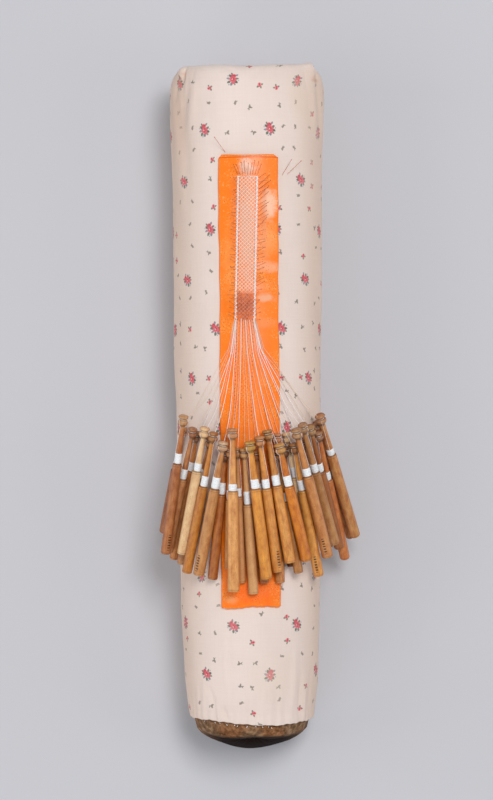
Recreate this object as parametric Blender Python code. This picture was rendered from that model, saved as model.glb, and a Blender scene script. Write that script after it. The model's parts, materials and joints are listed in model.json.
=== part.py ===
"""Bobbin lace on a roll pillow, lying on its back.

The roll lies along Y with its folded end at +Y and its open, hemmed end at -Y.  The lace is on top (+Z).
The origin is the middle of the flat that the roll rests on.  Metres, +Z up.
"""

import math

import bmesh
import bpy
import numpy as np
from mathutils import Matrix, Vector

MM = 0.001
GAP = 0.3 * MM                      # clear space between two pieces that touch

# ---- the roll ---------------------------------------------------------------------------------------
# Outer radius of the cover at stations along the roll, from the hem to the folded end, in mm.
COVER_SECTIONS = (
    # y,    radius
    (-268.0, 51.8),
    (-258.0, 52.8),
    (-231.0, 55.9),
    (-190.0, 57.4),
    (-133.0, 59.2),
    (-80.0, 60.6),
    (-31.0, 61.8),
    (40.0, 62.7),
    (85.0, 63.1),
    (130.0, 63.5),
    (190.0, 63.8),
    (240.0, 63.9),
    (257.0, 63.6),
    (265.5, 62.7),
    (272.5, 60.8),
    (277.0, 58.0),
    (279.4, 53.6),
    (280.3, 46.0),
    (280.6, 26.0),
)
FOLDED_END = 280.8 * MM             # middle of the folded end
# Outer radius of the stuffed core where it shows past the hem, in mm.
CORE_END_SECTIONS = (
    # y,    radius
    (-281.8, 25.0),
    (-281.3, 38.0),
    (-280.2, 43.6),
    (-277.2, 47.0),
    (-272.0, 49.0),
)
CORE_TIP = -282.0 * MM              # middle of the drawn-in end
# The stuffing has sunk, so the foot of the core's end stands out on the table past its top.
FOOT_REACH = 22.5 * MM
FOOT_TOP = 94 * MM                  # height at which the foot begins
FOOT_CURVE = 1.6                    # how much of it is low down
FOOT_HALF_WIDTH = 80 * MM
NOSE_REACH = 11 * MM                # the end is rounded from side to side: its sides stand this far back
NOSE_HALF_WIDTH = 47 * MM
NOSE_START = -268 * MM
COVER_THICKNESS = 1.2 * MM
HEM_EXTRA = 0.8 * MM                # the turned hem is thicker than the single cloth
HEM_BULGE = 2.0 * MM                # the hem reaches further down on top than at the sides
HEM_WAVE = 0.8 * MM
HEM_WAVES = 5
HEM_WAVE_START = 0.6                # radians
FLAT_HALF_WIDTH = 24 * MM           # half of the flat where the roll rests
SHOULDER_Y = 240 * MM               # the roll has its full thickness up to here
ROLL_SIDES = 36

# The cover is folded in at its end like a parcel, which leaves two soft ears with a tuck below each.
EAR_TURN = math.radians(61)         # angle from the top line
EAR_SPREAD = math.radians(12)
EAR_HEIGHT = 5.2 * MM
EAR_REACH = 5.0 * MM                # how far an ear stands out past the end
EAR_RIM = 55 * MM                   # the ears are on the end's rim, and fade out within it
EAR_FADE = 6
TUCK_TURN = math.radians(90)
TUCK_SPREAD = math.radians(11)
TUCK_DEPTH = 2.6 * MM
EAR_Y = 279 * MM
EAR_LENGTH = 8 * MM

# ---- the card and the lace --------------------------------------------------------------------------
CARD_THICKNESS = 1.0 * MM
CARD_HALF_WIDTH = 24 * MM
CARD_ENDS = (-169.3 * MM, 205.0 * MM)
# Rounded corners of the card: distance from its end, and how much narrower it is there, in mm.
CARD_CORNERS = (
    # in_from_end, narrower
    (0.0, 4.2),
    (1.0, 1.4),
    (3.6, 0.0),
)
CARD_COLUMNS = 10
LACE_THICKNESS = 1.0 * MM
LACE_HALF_WIDTH = 8.1 * MM
LACE_LIFT = GAP + CARD_THICKNESS + GAP      # the lace lies on the card
LACE_START = Vector((-0.1, 187.0)) * MM     # middle of the finished end
LACE_FRONT = Vector((-3.0, 68.6)) * MM      # middle of the working edge
LACE_ROWS = 8
LACE_COLUMNS = 4

# ---- the threads ------------------------------------------------------------------------------------
THREAD_THICKNESS = 0.8 * MM
THREAD_HEADER = 4 * MM              # the threads leave the lace in one close band this long
THREAD_ROWS = 8
THREAD_END_GAP = 0.6 * MM
THREAD_RISE = 4                     # the threads lie close to the roll and only rise near the bobbins

# ---- the bobbins ------------------------------------------------------------------------------------
BOBBIN_SIDES = 10
# Turned profile: distance in mm from the head, the shoulder of the body or the tail, and radius as a
# share of the body's.
BOBBIN_PROFILE = (
    # measured_from, along, radius
    ("head", 0.0, 0.74),
    ("head", 3.2, 0.88),
    ("head", 3.9, 0.66),
    ("head", 4.7, 0.88),
    ("head", 7.8, 0.84),
    ("head", 8.6, 0.40),
    ("winding", 0.0, 0.54),
    ("winding", 0.8, 0.68),         # winding of thread on the neck
    ("shoulder", -0.6, 0.68),
    ("shoulder", 0.4, 0.91),
    ("tail", -1.2, 1.00),
    ("tail", 0.0, 0.82),
)
# Where each bobbin lies, seen from above, in mm: the end of its head, the end of its tail, its
# thickness, how far its winding of thread and its shoulder are from the head, the layer of the heap it is
# in (the lowest is laid first) and its wood.  From the left to the right.
BOBBINS = (
    # head_x, head_y, tail_x, tail_y, thickness, winding, shoulder, layer, wood
    (-56.0, -20.0, -74.5, -110.0, 8.0, 34, 42, 1, "brown"),
    (-54.5, -9.5, -71.5, -125.5, 8.4, 33, 42, 4, "orange"),
    (-47.0, -20.0, -69.5, -124.5, 8.0, 37, 46, 3, "brown"),
    (-43.0, -23.5, -65.0, -131.0, 8.0, 27, 35, 2, "orange"),
    (-37.0, -19.5, -57.5, -125.5, 8.8, 31, 38, 6, "pale"),
    (-32.5, -28.0, -58.5, -134.5, 8.0, 28, 36, 5, "orange"),
    (-29.5, -23.5, -53.5, -141.0, 8.4, 38, 47, 7, "honey"),
    (-21.7, -31.0, -43.5, -142.5, 9.6, 31, 41, 11, "honey"),
    (-20.0, -39.0, -32.0, -146.0, 8.4, 27, 37, 8, "orange"),
    (-16.6, -36.0, -18.5, -137.0, 6.6, 36, 44, 9, "brown"),
    (-14.5, -20.5, -14.5, -155.5, 9.9, 46, 52, 18, "honey"),
    (-10.5, -36.5, -7.5, -149.0, 6.2, 34, 41, 10, "pale"),
    (-5.0, -37.0, 2.0, -158.0, 8.6, 36, 47, 12, "pale"),
    (-0.5, -31.0, 13.0, -145.0, 9.6, 32, 40, 17, "honey"),
    (6.0, -38.5, 11.0, -149.0, 8.2, 28, 35, 10, "brown"),
    (7.5, -27.0, 22.0, -139.5, 9.2, 36, 44, 16, "honey"),
    (13.8, -22.0, 32.5, -132.0, 9.4, 38, 47, 15, "orange"),
    (22.0, -25.0, 24.0, -149.0, 8.0, 33, 42, 9, "brown"),
    (23.5, -33.0, 46.0, -130.5, 9.4, 28, 37, 14, "orange"),
    (28.5, -36.0, 33.5, -136.0, 7.0, 32, 40, 8, "brown"),
    (22.5, -38.5, 39.5, -141.0, 7.8, 36, 44, 13, "honey"),
    (29.5, -24.5, 50.0, -124.5, 6.8, 30, 39, 7, "pale"),
    (35.5, -33.0, 56.5, -144.5, 8.8, 32, 41, 8, "honey"),
    (37.5, -21.0, 64.0, -128.5, 9.6, 35, 42, 9, "honey"),
    (43.0, -30.0, 68.0, -121.5, 7.4, 27, 35, 5, "brown"),
    (43.0, -17.0, 71.0, -119.0, 8.4, 38, 46, 6, "honey"),
    (49.5, -19.0, 75.5, -124.0, 8.6, 37, 45, 4, "honey"),
    (56.5, -24.0, 81.0, -134.0, 8.6, 40, 48, 3, "orange"),
    (56.0, -15.5, 86.0, -116.0, 7.6, 38, 46, 1, "brown"),
    (58.0, -10.0, 89.5, -114.5, 9.2, 34, 40, 2, "orange"),
)
BALANCE_POINT = 0.5                 # share of a bobbin's length from its head, which its thread holds down
ROLL_SLOPE_SPAN = (0.25, 0.6)       # a bobbin tends to follow the slope of the roll between these shares
ROLL_SLOPE_WEIGHT = 0.08
STEEPEST = math.tan(math.radians(29))   # its thread keeps a bobbin from sliding down any steeper
BOBBIN_SLICES = 120                 # places along a bobbin where its clearance is taken
SLICE_REACH = 0.8 * MM              # slices closer than this along a bobbin lie beside each other
SLOPE_STEPS = 240
HEAD_LENGTH = 9 * MM                # the grooved head counts as a plain rod this long
HEAD_SHARE = 0.88
CARD_CLEARANCE = 27 * MM            # a bobbin nearer the top line than this can touch the card

# ---- shading ----------------------------------------------------------------------------------------
SHARP_ANGLE = math.radians(40)
MERGE_DISTANCE = 0.01 * MM


# ---- materials and small helpers --------------------------------------------------------------------

def make_material(name, colour, roughness, metallic=0.0):
    material = bpy.data.materials.new(name)
    material.use_nodes = True
    shader = material.node_tree.nodes["Principled BSDF"]
    shader.inputs["Base Color"].default_value = (*colour, 1.0)
    shader.inputs["Roughness"].default_value = roughness
    shader.inputs["Metallic"].default_value = metallic
    return material


def add_piece(name, mesh_builder, material):
    mesh = bpy.data.meshes.new(name)
    bmesh.ops.recalc_face_normals(mesh_builder, faces=mesh_builder.faces)
    mesh_builder.to_mesh(mesh)
    mesh_builder.free()
    mesh.materials.append(material)
    mesh.shade_smooth()
    mesh.set_sharp_from_angle(angle=SHARP_ANGLE)
    piece = bpy.data.objects.new(name, mesh)
    bpy.context.scene.collection.objects.link(piece)
    return piece


def thicken(piece, thickness):
    """Give a sheet its thickness, outwards from the surface that it lies on."""
    solid = piece.modifiers.new("thickness", "SOLIDIFY")
    solid.thickness = thickness
    solid.offset = 1.0
    solid.use_even_offset = True


def close_rings(builder, rings, first_tip, last_tip):
    """Skin a row of rings of points, closed at each end by a point."""
    rows = [[builder.verts.new(point) for point in ring] for ring in rings]
    count = len(rows[0])
    for row, following in zip(rows, rows[1:]):
        for side in range(count):
            after = (side + 1) % count
            builder.faces.new((row[side], row[after], following[after], following[side]))
    for row, tip in ((rows[0], first_tip), (rows[-1], last_tip)):
        middle = builder.verts.new(tip)
        for side in range(count):
            builder.faces.new((row[side], row[(side + 1) % count], middle))


# ---- the roll's surface -----------------------------------------------------------------------------

COVER_Y = np.array([row[0] for row in COVER_SECTIONS]) * MM
COVER_RADIUS = np.array([row[1] for row in COVER_SECTIONS]) * MM
TURNS = [math.tau * side / ROLL_SIDES for side in range(ROLL_SIDES)]


def roll_radius(y):
    return float(np.interp(y, COVER_Y, COVER_RADIUS))


def axis_height(y):
    """Height of the roll's axis, so that its underside is pressed flat to the same width all along."""
    full = roll_radius(min(max(y, COVER_Y[0]), SHOULDER_Y))
    return math.sqrt(full ** 2 - FLAT_HALF_WIDTH ** 2)


def bump(value, middle, spread):
    return math.exp(-((value - middle) / spread) ** 2)


def fold_relief(y, radius, turn):
    """How far the ears and tucks at the folded end move its cloth outwards, and along the roll."""
    side_turn = abs(math.remainder(turn, math.tau))
    ear = bump(side_turn, EAR_TURN, EAR_SPREAD) * bump(y, EAR_Y, EAR_LENGTH)
    tuck = bump(side_turn, TUCK_TURN, TUCK_SPREAD) * bump(y, EAR_Y, EAR_LENGTH)
    rim = min(radius / EAR_RIM, 1.0) ** EAR_FADE
    return rim * (EAR_HEIGHT * ear - TUCK_DEPTH * tuck), rim * EAR_REACH * ear


def on_roll(y, turn, lift=0.0):
    """Point over the roll's surface: turn is the angle from the top line towards +X."""
    radius = roll_radius(y) + lift
    return Vector((radius * math.sin(turn), y, axis_height(y) + radius * math.cos(turn)))


def over_roll(x, y, lift):
    """Point over the roll's surface at a place given from above."""
    return on_roll(y, math.asin(x / (roll_radius(y) + lift)), lift)


def ring_point(y, radius, turn, depth):
    """Point of a ring of the cover or the core, depth below the outside of the cover."""
    outwards, along = fold_relief(y, radius, turn)
    radius += outwards
    height = axis_height(y) + radius * math.cos(turn)
    return Vector((radius * math.sin(turn), y + along, max(height, depth)))


def inset_sections(depth):
    """The cover's sections moved inwards, square to its outline."""
    outline = np.column_stack((COVER_Y, COVER_RADIUS))
    along = np.gradient(outline, axis=0)
    inwards = np.column_stack((along[:, 1], -along[:, 0]))
    inwards /= np.linalg.norm(inwards, axis=1)[:, None]
    return outline + depth * inwards


# ---- the pieces -------------------------------------------------------------------------------------

def hem_offset(turn):
    """The hem's edge is a little lower on top, and waves."""
    return -HEM_BULGE * math.cos(turn) - HEM_WAVE * math.sin(HEM_WAVES * turn + HEM_WAVE_START)


def with_foot(point):
    """The same point of the core's end, where its sunken stuffing has pushed it to."""
    low = max(1 - point.z / FOOT_TOP, 0.0) ** FOOT_CURVE
    reach = FOOT_REACH * low * (1 - (point.x / FOOT_HALF_WIDTH) ** 2)
    share = (point.y - NOSE_START) / (CORE_TIP - NOSE_START)
    reach -= NOSE_REACH * share * (point.x / NOSE_HALF_WIDTH) ** 4
    return point - Vector((0, reach, 0))


def make_core(material):
    depth = COVER_THICKNESS + GAP
    rings = [[with_foot(ring_point(y * MM, radius * MM, turn, 0.0)) for turn in TURNS]
             for y, radius in CORE_END_SECTIONS]
    for y, radius in inset_sections(depth):
        rings.append([ring_point(y, radius, turn, depth) for turn in TURNS])
    builder = bmesh.new()
    lower_tip = with_foot(Vector((0, CORE_TIP, axis_height(CORE_TIP))))
    upper_tip = Vector((0, FOLDED_END - depth, axis_height(FOLDED_END)))
    close_rings(builder, rings, lower_tip, upper_tip)
    return add_piece("pillow_core", builder, material)


def make_cover(material):
    """The sleeve: its outside from the folded end to the hem, round the hem's edge, and back inside."""
    def sleeve_rings(sections, depth):
        rings = []
        for index, (y, radius) in enumerate(sections):
            shift = 1.0 if index == 0 else 0.0
            hemmed = HEM_EXTRA if index <= 1 and depth == 0 else 0.0
            rings.append([ring_point(y + shift * hem_offset(turn), radius + hemmed, turn, depth)
                          for turn in TURNS])
        return rings

    outside = sleeve_rings(inset_sections(0.0), 0.0)
    inside = sleeve_rings(inset_sections(COVER_THICKNESS), COVER_THICKNESS)
    height = axis_height(FOLDED_END)
    builder = bmesh.new()
    close_rings(builder, outside[::-1] + inside,
                Vector((0, FOLDED_END, height)), Vector((0, FOLDED_END - COVER_THICKNESS, height)))
    return add_piece("pillow_cover", builder, material)


def make_card(material):
    start, end = CARD_ENDS
    corners = [(along * MM, CARD_HALF_WIDTH - narrower * MM) for along, narrower in CARD_CORNERS]
    stations = [(start + along, half_width) for along, half_width in corners]
    stations += [(y, CARD_HALF_WIDTH) for y in COVER_Y
                 if start + corners[-1][0] < y < end - corners[-1][0]]
    stations += [(end - along, half_width) for along, half_width in reversed(corners)]
    builder = bmesh.new()
    rows = []
    for y, half_width in stations:
        places = np.linspace(-half_width, half_width, CARD_COLUMNS + 1)
        rows.append([builder.verts.new(over_roll(x, y, GAP)) for x in places])
    for row, following in zip(rows, rows[1:]):
        for column in range(CARD_COLUMNS):
            builder.faces.new((row[column], row[column + 1], following[column + 1], following[column]))
    card = add_piece("pricking_card", builder, material)
    thicken(card, CARD_THICKNESS)
    return card


def make_lace(material):
    builder = bmesh.new()
    rows = []
    for step in range(LACE_ROWS + 1):
        middle = LACE_FRONT.lerp(LACE_START, step / LACE_ROWS)
        places = np.linspace(-LACE_HALF_WIDTH, LACE_HALF_WIDTH, LACE_COLUMNS + 1)
        rows.append([builder.verts.new(over_roll(middle.x + x, middle.y, LACE_LIFT)) for x in places])
    for row, following in zip(rows, rows[1:]):
        for column in range(LACE_COLUMNS):
            builder.faces.new((row[column], row[column + 1], following[column + 1], following[column]))
    lace = add_piece("lace_strip", builder, material)
    thicken(lace, LACE_THICKNESS)
    return lace


# ---- laying the bobbins -----------------------------------------------------------------------------

def bobbin_outline(length, thickness, winding, shoulder):
    """Distances from the head and radii of a turned bobbin."""
    start = {"head": 0.0, "winding": winding, "shoulder": shoulder, "tail": length}
    return [(start[place] + along * MM, share * thickness / 2) for place, along, share in BOBBIN_PROFILE]


def clearance_over_roll(x, y, radius):
    """Least height of a ball's middle over the roll, the card included, or over the table."""
    lift = LACE_LIFT if abs(x) < CARD_CLEARANCE else GAP
    reach = roll_radius(y) + lift + radius
    if abs(x) >= reach:
        return radius + GAP
    return max(axis_height(y) + math.sqrt(reach ** 2 - x ** 2), radius + GAP)


def lay_bobbins():
    """Lay the bobbins layer by layer, each at rest on the roll and on those already laid.

    A bobbin is taken as a row of slices.  Each slice has a least height, over the roll and over the slices
    of other bobbins beside it, and the bobbin's axis is the line over all of them that puts its balance
    point low and keeps near the roll's own slope.  Returns for each the ends of its axis.
    """
    laid = {}
    slices = np.empty((0, 5))                   # x, y, height, radius, upward stretch from its slope
    order = sorted(range(len(BOBBINS)), key=lambda index: BOBBINS[index][7])
    slopes = np.linspace(-STEEPEST, STEEPEST / 2, SLOPE_STEPS)
    share = np.linspace(0.0, 1.0, BOBBIN_SLICES)
    for index in order:
        head_x, head_y, tail_x, tail_y, thickness, winding, shoulder = BOBBINS[index][:7]
        head = np.array((head_x, head_y)) * MM
        tail = np.array((tail_x, tail_y)) * MM
        reach = float(np.linalg.norm(tail - head))
        way = (tail - head) / reach
        along = share * reach
        places = head + along[:, None] * way
        outline = bobbin_outline(reach, thickness * MM, winding * MM, shoulder * MM)
        radii = np.interp(along, *zip(*outline))
        radii[along < HEAD_LENGTH] = HEAD_SHARE * thickness * MM / 2
        least = np.array([clearance_over_roll(x, y, radius)
                          for (x, y), radius in zip(places, radii)])
        near, far = np.interp(ROLL_SLOPE_SPAN, share, least)
        roll_slope = (far - near) / (np.ptp(ROLL_SLOPE_SPAN) * reach)
        if len(slices):
            offset = slices[None, :, :2] - places[:, None, :]
            ahead = offset @ way
            aside = offset @ np.array((-way[1], way[0]))
            touch = radii[:, None] + slices[None, :, 3] + GAP
            rise = np.sqrt(np.maximum(touch ** 2 - aside ** 2, 0.0)) * slices[None, :, 4]
            beside = (np.abs(ahead) < SLICE_REACH) & (np.abs(aside) < touch)
            least = np.maximum(least, np.where(beside, slices[None, :, 2] + rise, -1.0).max(axis=1))
        starts = (least[None, :] - slopes[:, None] * along[None, :]).max(axis=1)
        strain = ROLL_SLOPE_WEIGHT * np.abs(slopes - roll_slope)
        best = int(np.argmin(starts + (slopes * BALANCE_POINT + strain) * reach))
        heights = starts[best] + slopes[best] * along
        laid[index] = (Vector((*head, heights[0])), Vector((*tail, heights[-1])))
        stretch = np.full(BOBBIN_SLICES, math.hypot(1.0, slopes[best]))
        slices = np.vstack((slices, np.column_stack((places, heights, radii, stretch))))
    return laid


def make_bobbin(index, head, tail, material):
    """Turn one bobbin about its own Z axis, then lay it from its head to its tail."""
    thickness, winding, shoulder = (value * MM for value in BOBBINS[index][4:7])
    length = (tail - head).length
    builder = bmesh.new()
    outline = [(0.0, 0.0), *bobbin_outline(length, thickness, winding, shoulder), (length, 0.0)]
    profile = [builder.verts.new((radius, 0.0, distance)) for distance, radius in outline]
    edges = [builder.edges.new(pair) for pair in zip(profile, profile[1:])]
    bmesh.ops.spin(builder, geom=profile + edges, cent=(0, 0, 0), axis=(0, 0, 1),
                   angle=math.tau, steps=BOBBIN_SIDES, use_duplicate=False)
    bmesh.ops.remove_doubles(builder, verts=builder.verts, dist=MERGE_DISTANCE)
    bobbin = add_piece(f"bobbin_{index + 1:02d}", builder, material)
    turn = (tail - head).to_track_quat("Z", "Y").to_matrix().to_4x4()
    bobbin.matrix_world = Matrix.Translation(head) @ turn
    return bobbin


# ---- the threads ------------------------------------------------------------------------------------

def polar_over_roll(point):
    """Turn and lift of a point over the roll's surface."""
    height = point.z - axis_height(point.y)
    return math.atan2(point.x, height), math.hypot(point.x, height) - roll_radius(point.y)


def thread_paths(laid):
    """Routes of the pairs of threads, in order across the lace, from the header to the bobbins' heads.

    Each is a row of places on the roll: the place along it, the turn and the lift.
    """
    heads = sorted((laid[index][0] for index in laid), key=lambda head: head.x)
    pairs = [heads[place:place + 2] for place in range(0, len(heads), 2)]
    root_y = LACE_FRONT.y - GAP - THREAD_HEADER
    width = 2 * LACE_HALF_WIDTH
    paths = []
    for place, pair in enumerate(pairs):
        root_x = LACE_FRONT.x - LACE_HALF_WIDTH + width * (place + 0.5) / len(pairs)
        root_turn = math.asin(root_x / (roll_radius(root_y) + LACE_LIFT))
        nearest = max(pair, key=lambda head: head.y)
        end_turn, end_lift = polar_over_roll(nearest)
        end_y = nearest.y + THREAD_END_GAP
        end_lift = max(end_lift - THREAD_THICKNESS / 2, LACE_LIFT)
        route = []
        for step in range(THREAD_ROWS + 1):
            share = step / THREAD_ROWS
            route.append((root_y + share * (end_y - root_y),
                          root_turn + share * (end_turn - root_turn),
                          LACE_LIFT + (end_lift - LACE_LIFT) * share ** THREAD_RISE))
        paths.append(route)
    return paths


def make_threads(laid, material):
    """The fan of threads, as one comb: a band along the working edge with a tooth for each pair."""
    top_y = LACE_FRONT.y - GAP
    half = THREAD_THICKNESS / 2
    builder = bmesh.new()

    def edge_points(y, turn, lift):
        radius = roll_radius(y) + lift
        return [builder.verts.new(on_roll(y, turn + side * half / radius, lift)) for side in (-1, 1)]

    band_top = []
    band_foot = []
    for route in thread_paths(laid):
        root_turn = route[0][1]
        band_top += edge_points(top_y, root_turn, LACE_LIFT)
        left, right = edge_points(*route[0])
        band_foot += [left, right]
        for place in route[1:]:
            new_left, new_right = edge_points(*place)
            builder.faces.new((new_left, new_right, right, left))
            left, right = new_left, new_right
    for place in range(len(band_foot) - 1):
        builder.faces.new((band_foot[place], band_foot[place + 1], band_top[place + 1], band_top[place]))
    threads = add_piece("thread_fan", builder, material)
    thicken(threads, THREAD_THICKNESS)
    return threads


def main():
    for old in list(bpy.data.objects):
        bpy.data.objects.remove(old, do_unlink=True)
    sacking = make_material("worn brown sacking", (0.19, 0.12, 0.075), 0.85)
    cotton = make_material("printed cotton", (0.76, 0.66, 0.60), 0.9)
    card_gloss = make_material("glossy orange card", (1.0, 0.19, 0.03), 0.3)
    thread = make_material("white thread", (0.86, 0.85, 0.83), 0.8)
    woods = {"honey": make_material("honey wood", (0.50, 0.27, 0.10), 0.45),
             "pale": make_material("pale wood", (0.68, 0.45, 0.24), 0.5),
             "orange": make_material("orange wood", (0.48, 0.20, 0.05), 0.45),
             "brown": make_material("brown wood", (0.27, 0.15, 0.08), 0.5)}
    make_core(sacking)
    make_cover(cotton)
    make_card(card_gloss)
    make_lace(thread)
    laid = lay_bobbins()
    make_threads(laid, thread)
    for index in laid:
        make_bobbin(index, *laid[index], woods[BOBBINS[index][8]])


main()
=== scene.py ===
# %% [markdown]
# # Bobbin lace on a roll pillow
#
# A lace maker's roll pillow is a bag stuffed as hard as wood, with a cotton cover drawn over it.  A card
# with the pricked pattern lies on top, a strip of lace is pinned to it, and each thread of the lace hangs
# from a turned bobbin.  This lesson dresses the plain solids of such a pillow with everything that the eye
# looks for: print, weave, gloss, net, pins, wood and thread.
#
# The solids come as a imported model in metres.  They are only measured here, and each is replaced by a finer
# piece made at the same place.

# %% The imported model
import json
import math
import random

import bpy
import numpy as np
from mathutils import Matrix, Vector

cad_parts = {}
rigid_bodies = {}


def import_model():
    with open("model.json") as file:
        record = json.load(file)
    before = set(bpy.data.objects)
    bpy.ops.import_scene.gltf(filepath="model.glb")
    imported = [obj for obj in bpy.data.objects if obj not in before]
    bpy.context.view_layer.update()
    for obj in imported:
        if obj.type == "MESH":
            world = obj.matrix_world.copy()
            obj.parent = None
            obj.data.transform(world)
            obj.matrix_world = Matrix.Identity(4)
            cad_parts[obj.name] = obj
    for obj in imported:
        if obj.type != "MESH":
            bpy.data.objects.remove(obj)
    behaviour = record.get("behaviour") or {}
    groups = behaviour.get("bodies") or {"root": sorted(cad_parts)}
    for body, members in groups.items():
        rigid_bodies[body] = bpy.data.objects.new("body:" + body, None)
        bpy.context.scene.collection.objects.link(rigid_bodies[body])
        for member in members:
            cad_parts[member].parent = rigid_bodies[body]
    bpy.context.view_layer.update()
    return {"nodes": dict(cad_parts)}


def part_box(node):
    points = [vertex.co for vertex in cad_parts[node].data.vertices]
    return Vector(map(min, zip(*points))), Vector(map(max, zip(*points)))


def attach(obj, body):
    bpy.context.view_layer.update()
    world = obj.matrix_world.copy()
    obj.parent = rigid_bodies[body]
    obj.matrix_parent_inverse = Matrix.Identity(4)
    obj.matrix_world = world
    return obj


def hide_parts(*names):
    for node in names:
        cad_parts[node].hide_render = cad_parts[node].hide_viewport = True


for leftover in list(bpy.data.objects):
    bpy.data.objects.remove(leftover)
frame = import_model()

# %% [markdown]
# ## Small tools
#
# Operators act on whatever is selected, so a helper clears the selection before each new piece.  Finished
# pieces stay at the origin with their place in their mesh, so `settle` applies the transform.

# %% Helpers for pieces
MM = 0.001


def select_only(*pieces):
    if bpy.context.mode != "OBJECT":
        bpy.ops.object.mode_set(mode="OBJECT")
    bpy.ops.object.select_all(action="DESELECT")
    for piece in pieces:
        piece.select_set(True)
        bpy.context.view_layer.objects.active = piece


def settle(piece):
    """Put a piece's place, turn and size into its mesh."""
    select_only(piece)
    bpy.ops.object.transform_apply(location=True, rotation=True, scale=True)


def apply_modifier(piece, kind, **settings):
    select_only(piece)
    modifier = piece.modifiers.new(kind.title(), kind)
    for name, value in settings.items():
        setattr(modifier, name, value)
    bpy.ops.object.modifier_apply(modifier=modifier.name)


def points_of(piece):
    flat = np.empty(len(piece.data.vertices) * 3)
    piece.data.vertices.foreach_get("co", flat)
    return flat.reshape(-1, 3)


def move_points(piece, points):
    piece.data.vertices.foreach_set("co", np.asarray(points, dtype=float).ravel())
    piece.data.update()


def count_triangles(piece):
    return sum(len(face.vertices) - 2 for face in piece.data.polygons)


def finish_piece(piece, material, slot, *nodes):
    """Give a piece its material and its place in the model, and let it stand for the solids named."""
    piece.data.materials.clear()
    piece.data.materials.append(material)
    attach(piece, "root")
    if nodes:
        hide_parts(*nodes)
    print(f"{piece.name}: {count_triangles(piece)} triangles")


# %% Helpers for materials
def linear(hex_value):
    """sRGB hex to the linear colour that a shader needs."""
    channels = [int(hex_value[at:at + 2], 16) / 255 for at in (1, 3, 5)]
    return (*(c / 12.92 if c <= 0.04045 else ((c + 0.055) / 1.055) ** 2.4 for c in channels), 1.0)


def add_node(tree, kind, links=None, **settings):
    """Add a shader node of a kind such as Math or Mix.  Links maps a socket to a value or to an output."""
    node = tree.nodes.new("ShaderNode" + kind)
    for name, value in settings.items():
        setattr(node, name, value)
    for socket, value in (links or {}).items():
        if isinstance(value, bpy.types.NodeSocket):
            tree.links.new(value, node.inputs[socket])
        else:
            node.inputs[socket].default_value = value
    return node


def new_material(name, **shader_values):
    """A material with one Principled shader, and its node tree and shader for further work."""
    material = bpy.data.materials.new(name)
    material.use_nodes = True
    tree = material.node_tree
    shader = tree.nodes["Principled BSDF"]
    for socket, value in shader_values.items():
        shader.inputs[socket.replace("_", " ")].default_value = value
    return material, tree, shader


# %% [markdown]
# ## Camera, floor and light
#
# The pillow is seen from straight above, through a lens long enough to keep its sides nearly parallel.  The
# main light is one soft box above and beyond the upper end, a little to the right.  Three weak low boxes,
# left, right and in front, keep the long sides and the near end from going black, in an even grey room.

# %% Camera
CAMERA_PLACE = (-2.72 * MM, 2.55 * MM, 2.160)
CAMERA_TURN = -0.00725              # in radians: the camera stands almost square to the roll
FILM_HEIGHT, LENS = 24, 74.1        # both in mm
camera_data = bpy.data.cameras.new("camera")
camera_data.sensor_fit = "VERTICAL"
camera_data.sensor_height = FILM_HEIGHT
camera_data.lens = LENS
camera = bpy.data.objects.new("camera", camera_data)
camera.location = CAMERA_PLACE
camera.rotation_euler = (0, 0, CAMERA_TURN)
bpy.context.scene.collection.objects.link(camera)
bpy.context.scene.camera = camera
print("camera", tuple(round(value, 3) for value in camera.location))

# %% Floor and light
FLOOR_GREY = "#C9C9CE"
ROOM_LIGHT = 0.37                   # strength of the even light from all round
LIGHT_AIM = Vector((0, 0, 0.06))    # every box points at the middle of the roll
select_only()
bpy.ops.mesh.primitive_plane_add(size=8)
floor = bpy.context.object
floor.name = "floor"
floor_material, _, floor_shader = new_material("matte_grey_paper", Roughness=0.9)
floor_shader.inputs["Base Color"].default_value = linear(FLOOR_GREY)
floor.data.materials.append(floor_material)


def soft_box(name, place, size, watts):
    data = bpy.data.lights.new(name, "AREA")
    data.shape = "RECTANGLE"
    data.size, data.size_y = size
    data.energy = watts
    light = bpy.data.objects.new(name, data)
    light.location = place
    light.visible_camera = False
    light.rotation_euler = (LIGHT_AIM - Vector(place)).to_track_quat("-Z", "Y").to_euler()
    bpy.context.scene.collection.objects.link(light)


soft_box("key_soft_box", (0.42, 0.62, 2.18), (0.70, 0.70), 26.0)
soft_box("left_low_soft_box", (-1.7, -0.05, 0.65), (0.9, 1.8), 7.5)
soft_box("right_low_soft_box", (1.7, -0.25, 0.75), (0.9, 1.8), 5.5)
soft_box("front_low_soft_box", (-0.9, -1.7, 0.9), (1.8, 0.9), 10.0)
world = bpy.data.worlds.new("studio")
world.use_nodes = True
room = world.node_tree.nodes["Background"]
room.inputs["Color"].default_value = (0.97, 0.98, 1.0, 1)
room.inputs["Strength"].default_value = ROOM_LIGHT
bpy.context.scene.world = world
# a plain view keeps the orange of the card as strong as it is
bpy.context.scene.view_settings.view_transform = "Standard"

# %% [markdown]
# ## The roll
#
# Everything lies on the roll, so its shape is measured first, by dropping a line on the plain cover from
# above and pushing one in from the side, every few millimetres along it.  The side gives the radius, and the
# top less the radius gives the height of the axis.  The roll is thinner at the hem and rests on a narrow flat
# all along.

# %% Measuring the roll
plain_cover = frame["nodes"]["pillow_cover"]
HEM_Y, FOLDED_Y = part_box("pillow_cover")[0].y, 0.2808
SHOULDER_Y = 0.240              # past this the end is rounded off, on an axis that stays level
ROLL_Y = np.append(np.arange(-0.266, 0.280, 0.003), 0.2803)


def reach_of_solid(start, direction):
    return plain_cover.ray_cast(Vector(start), Vector(direction))[1]


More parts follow.
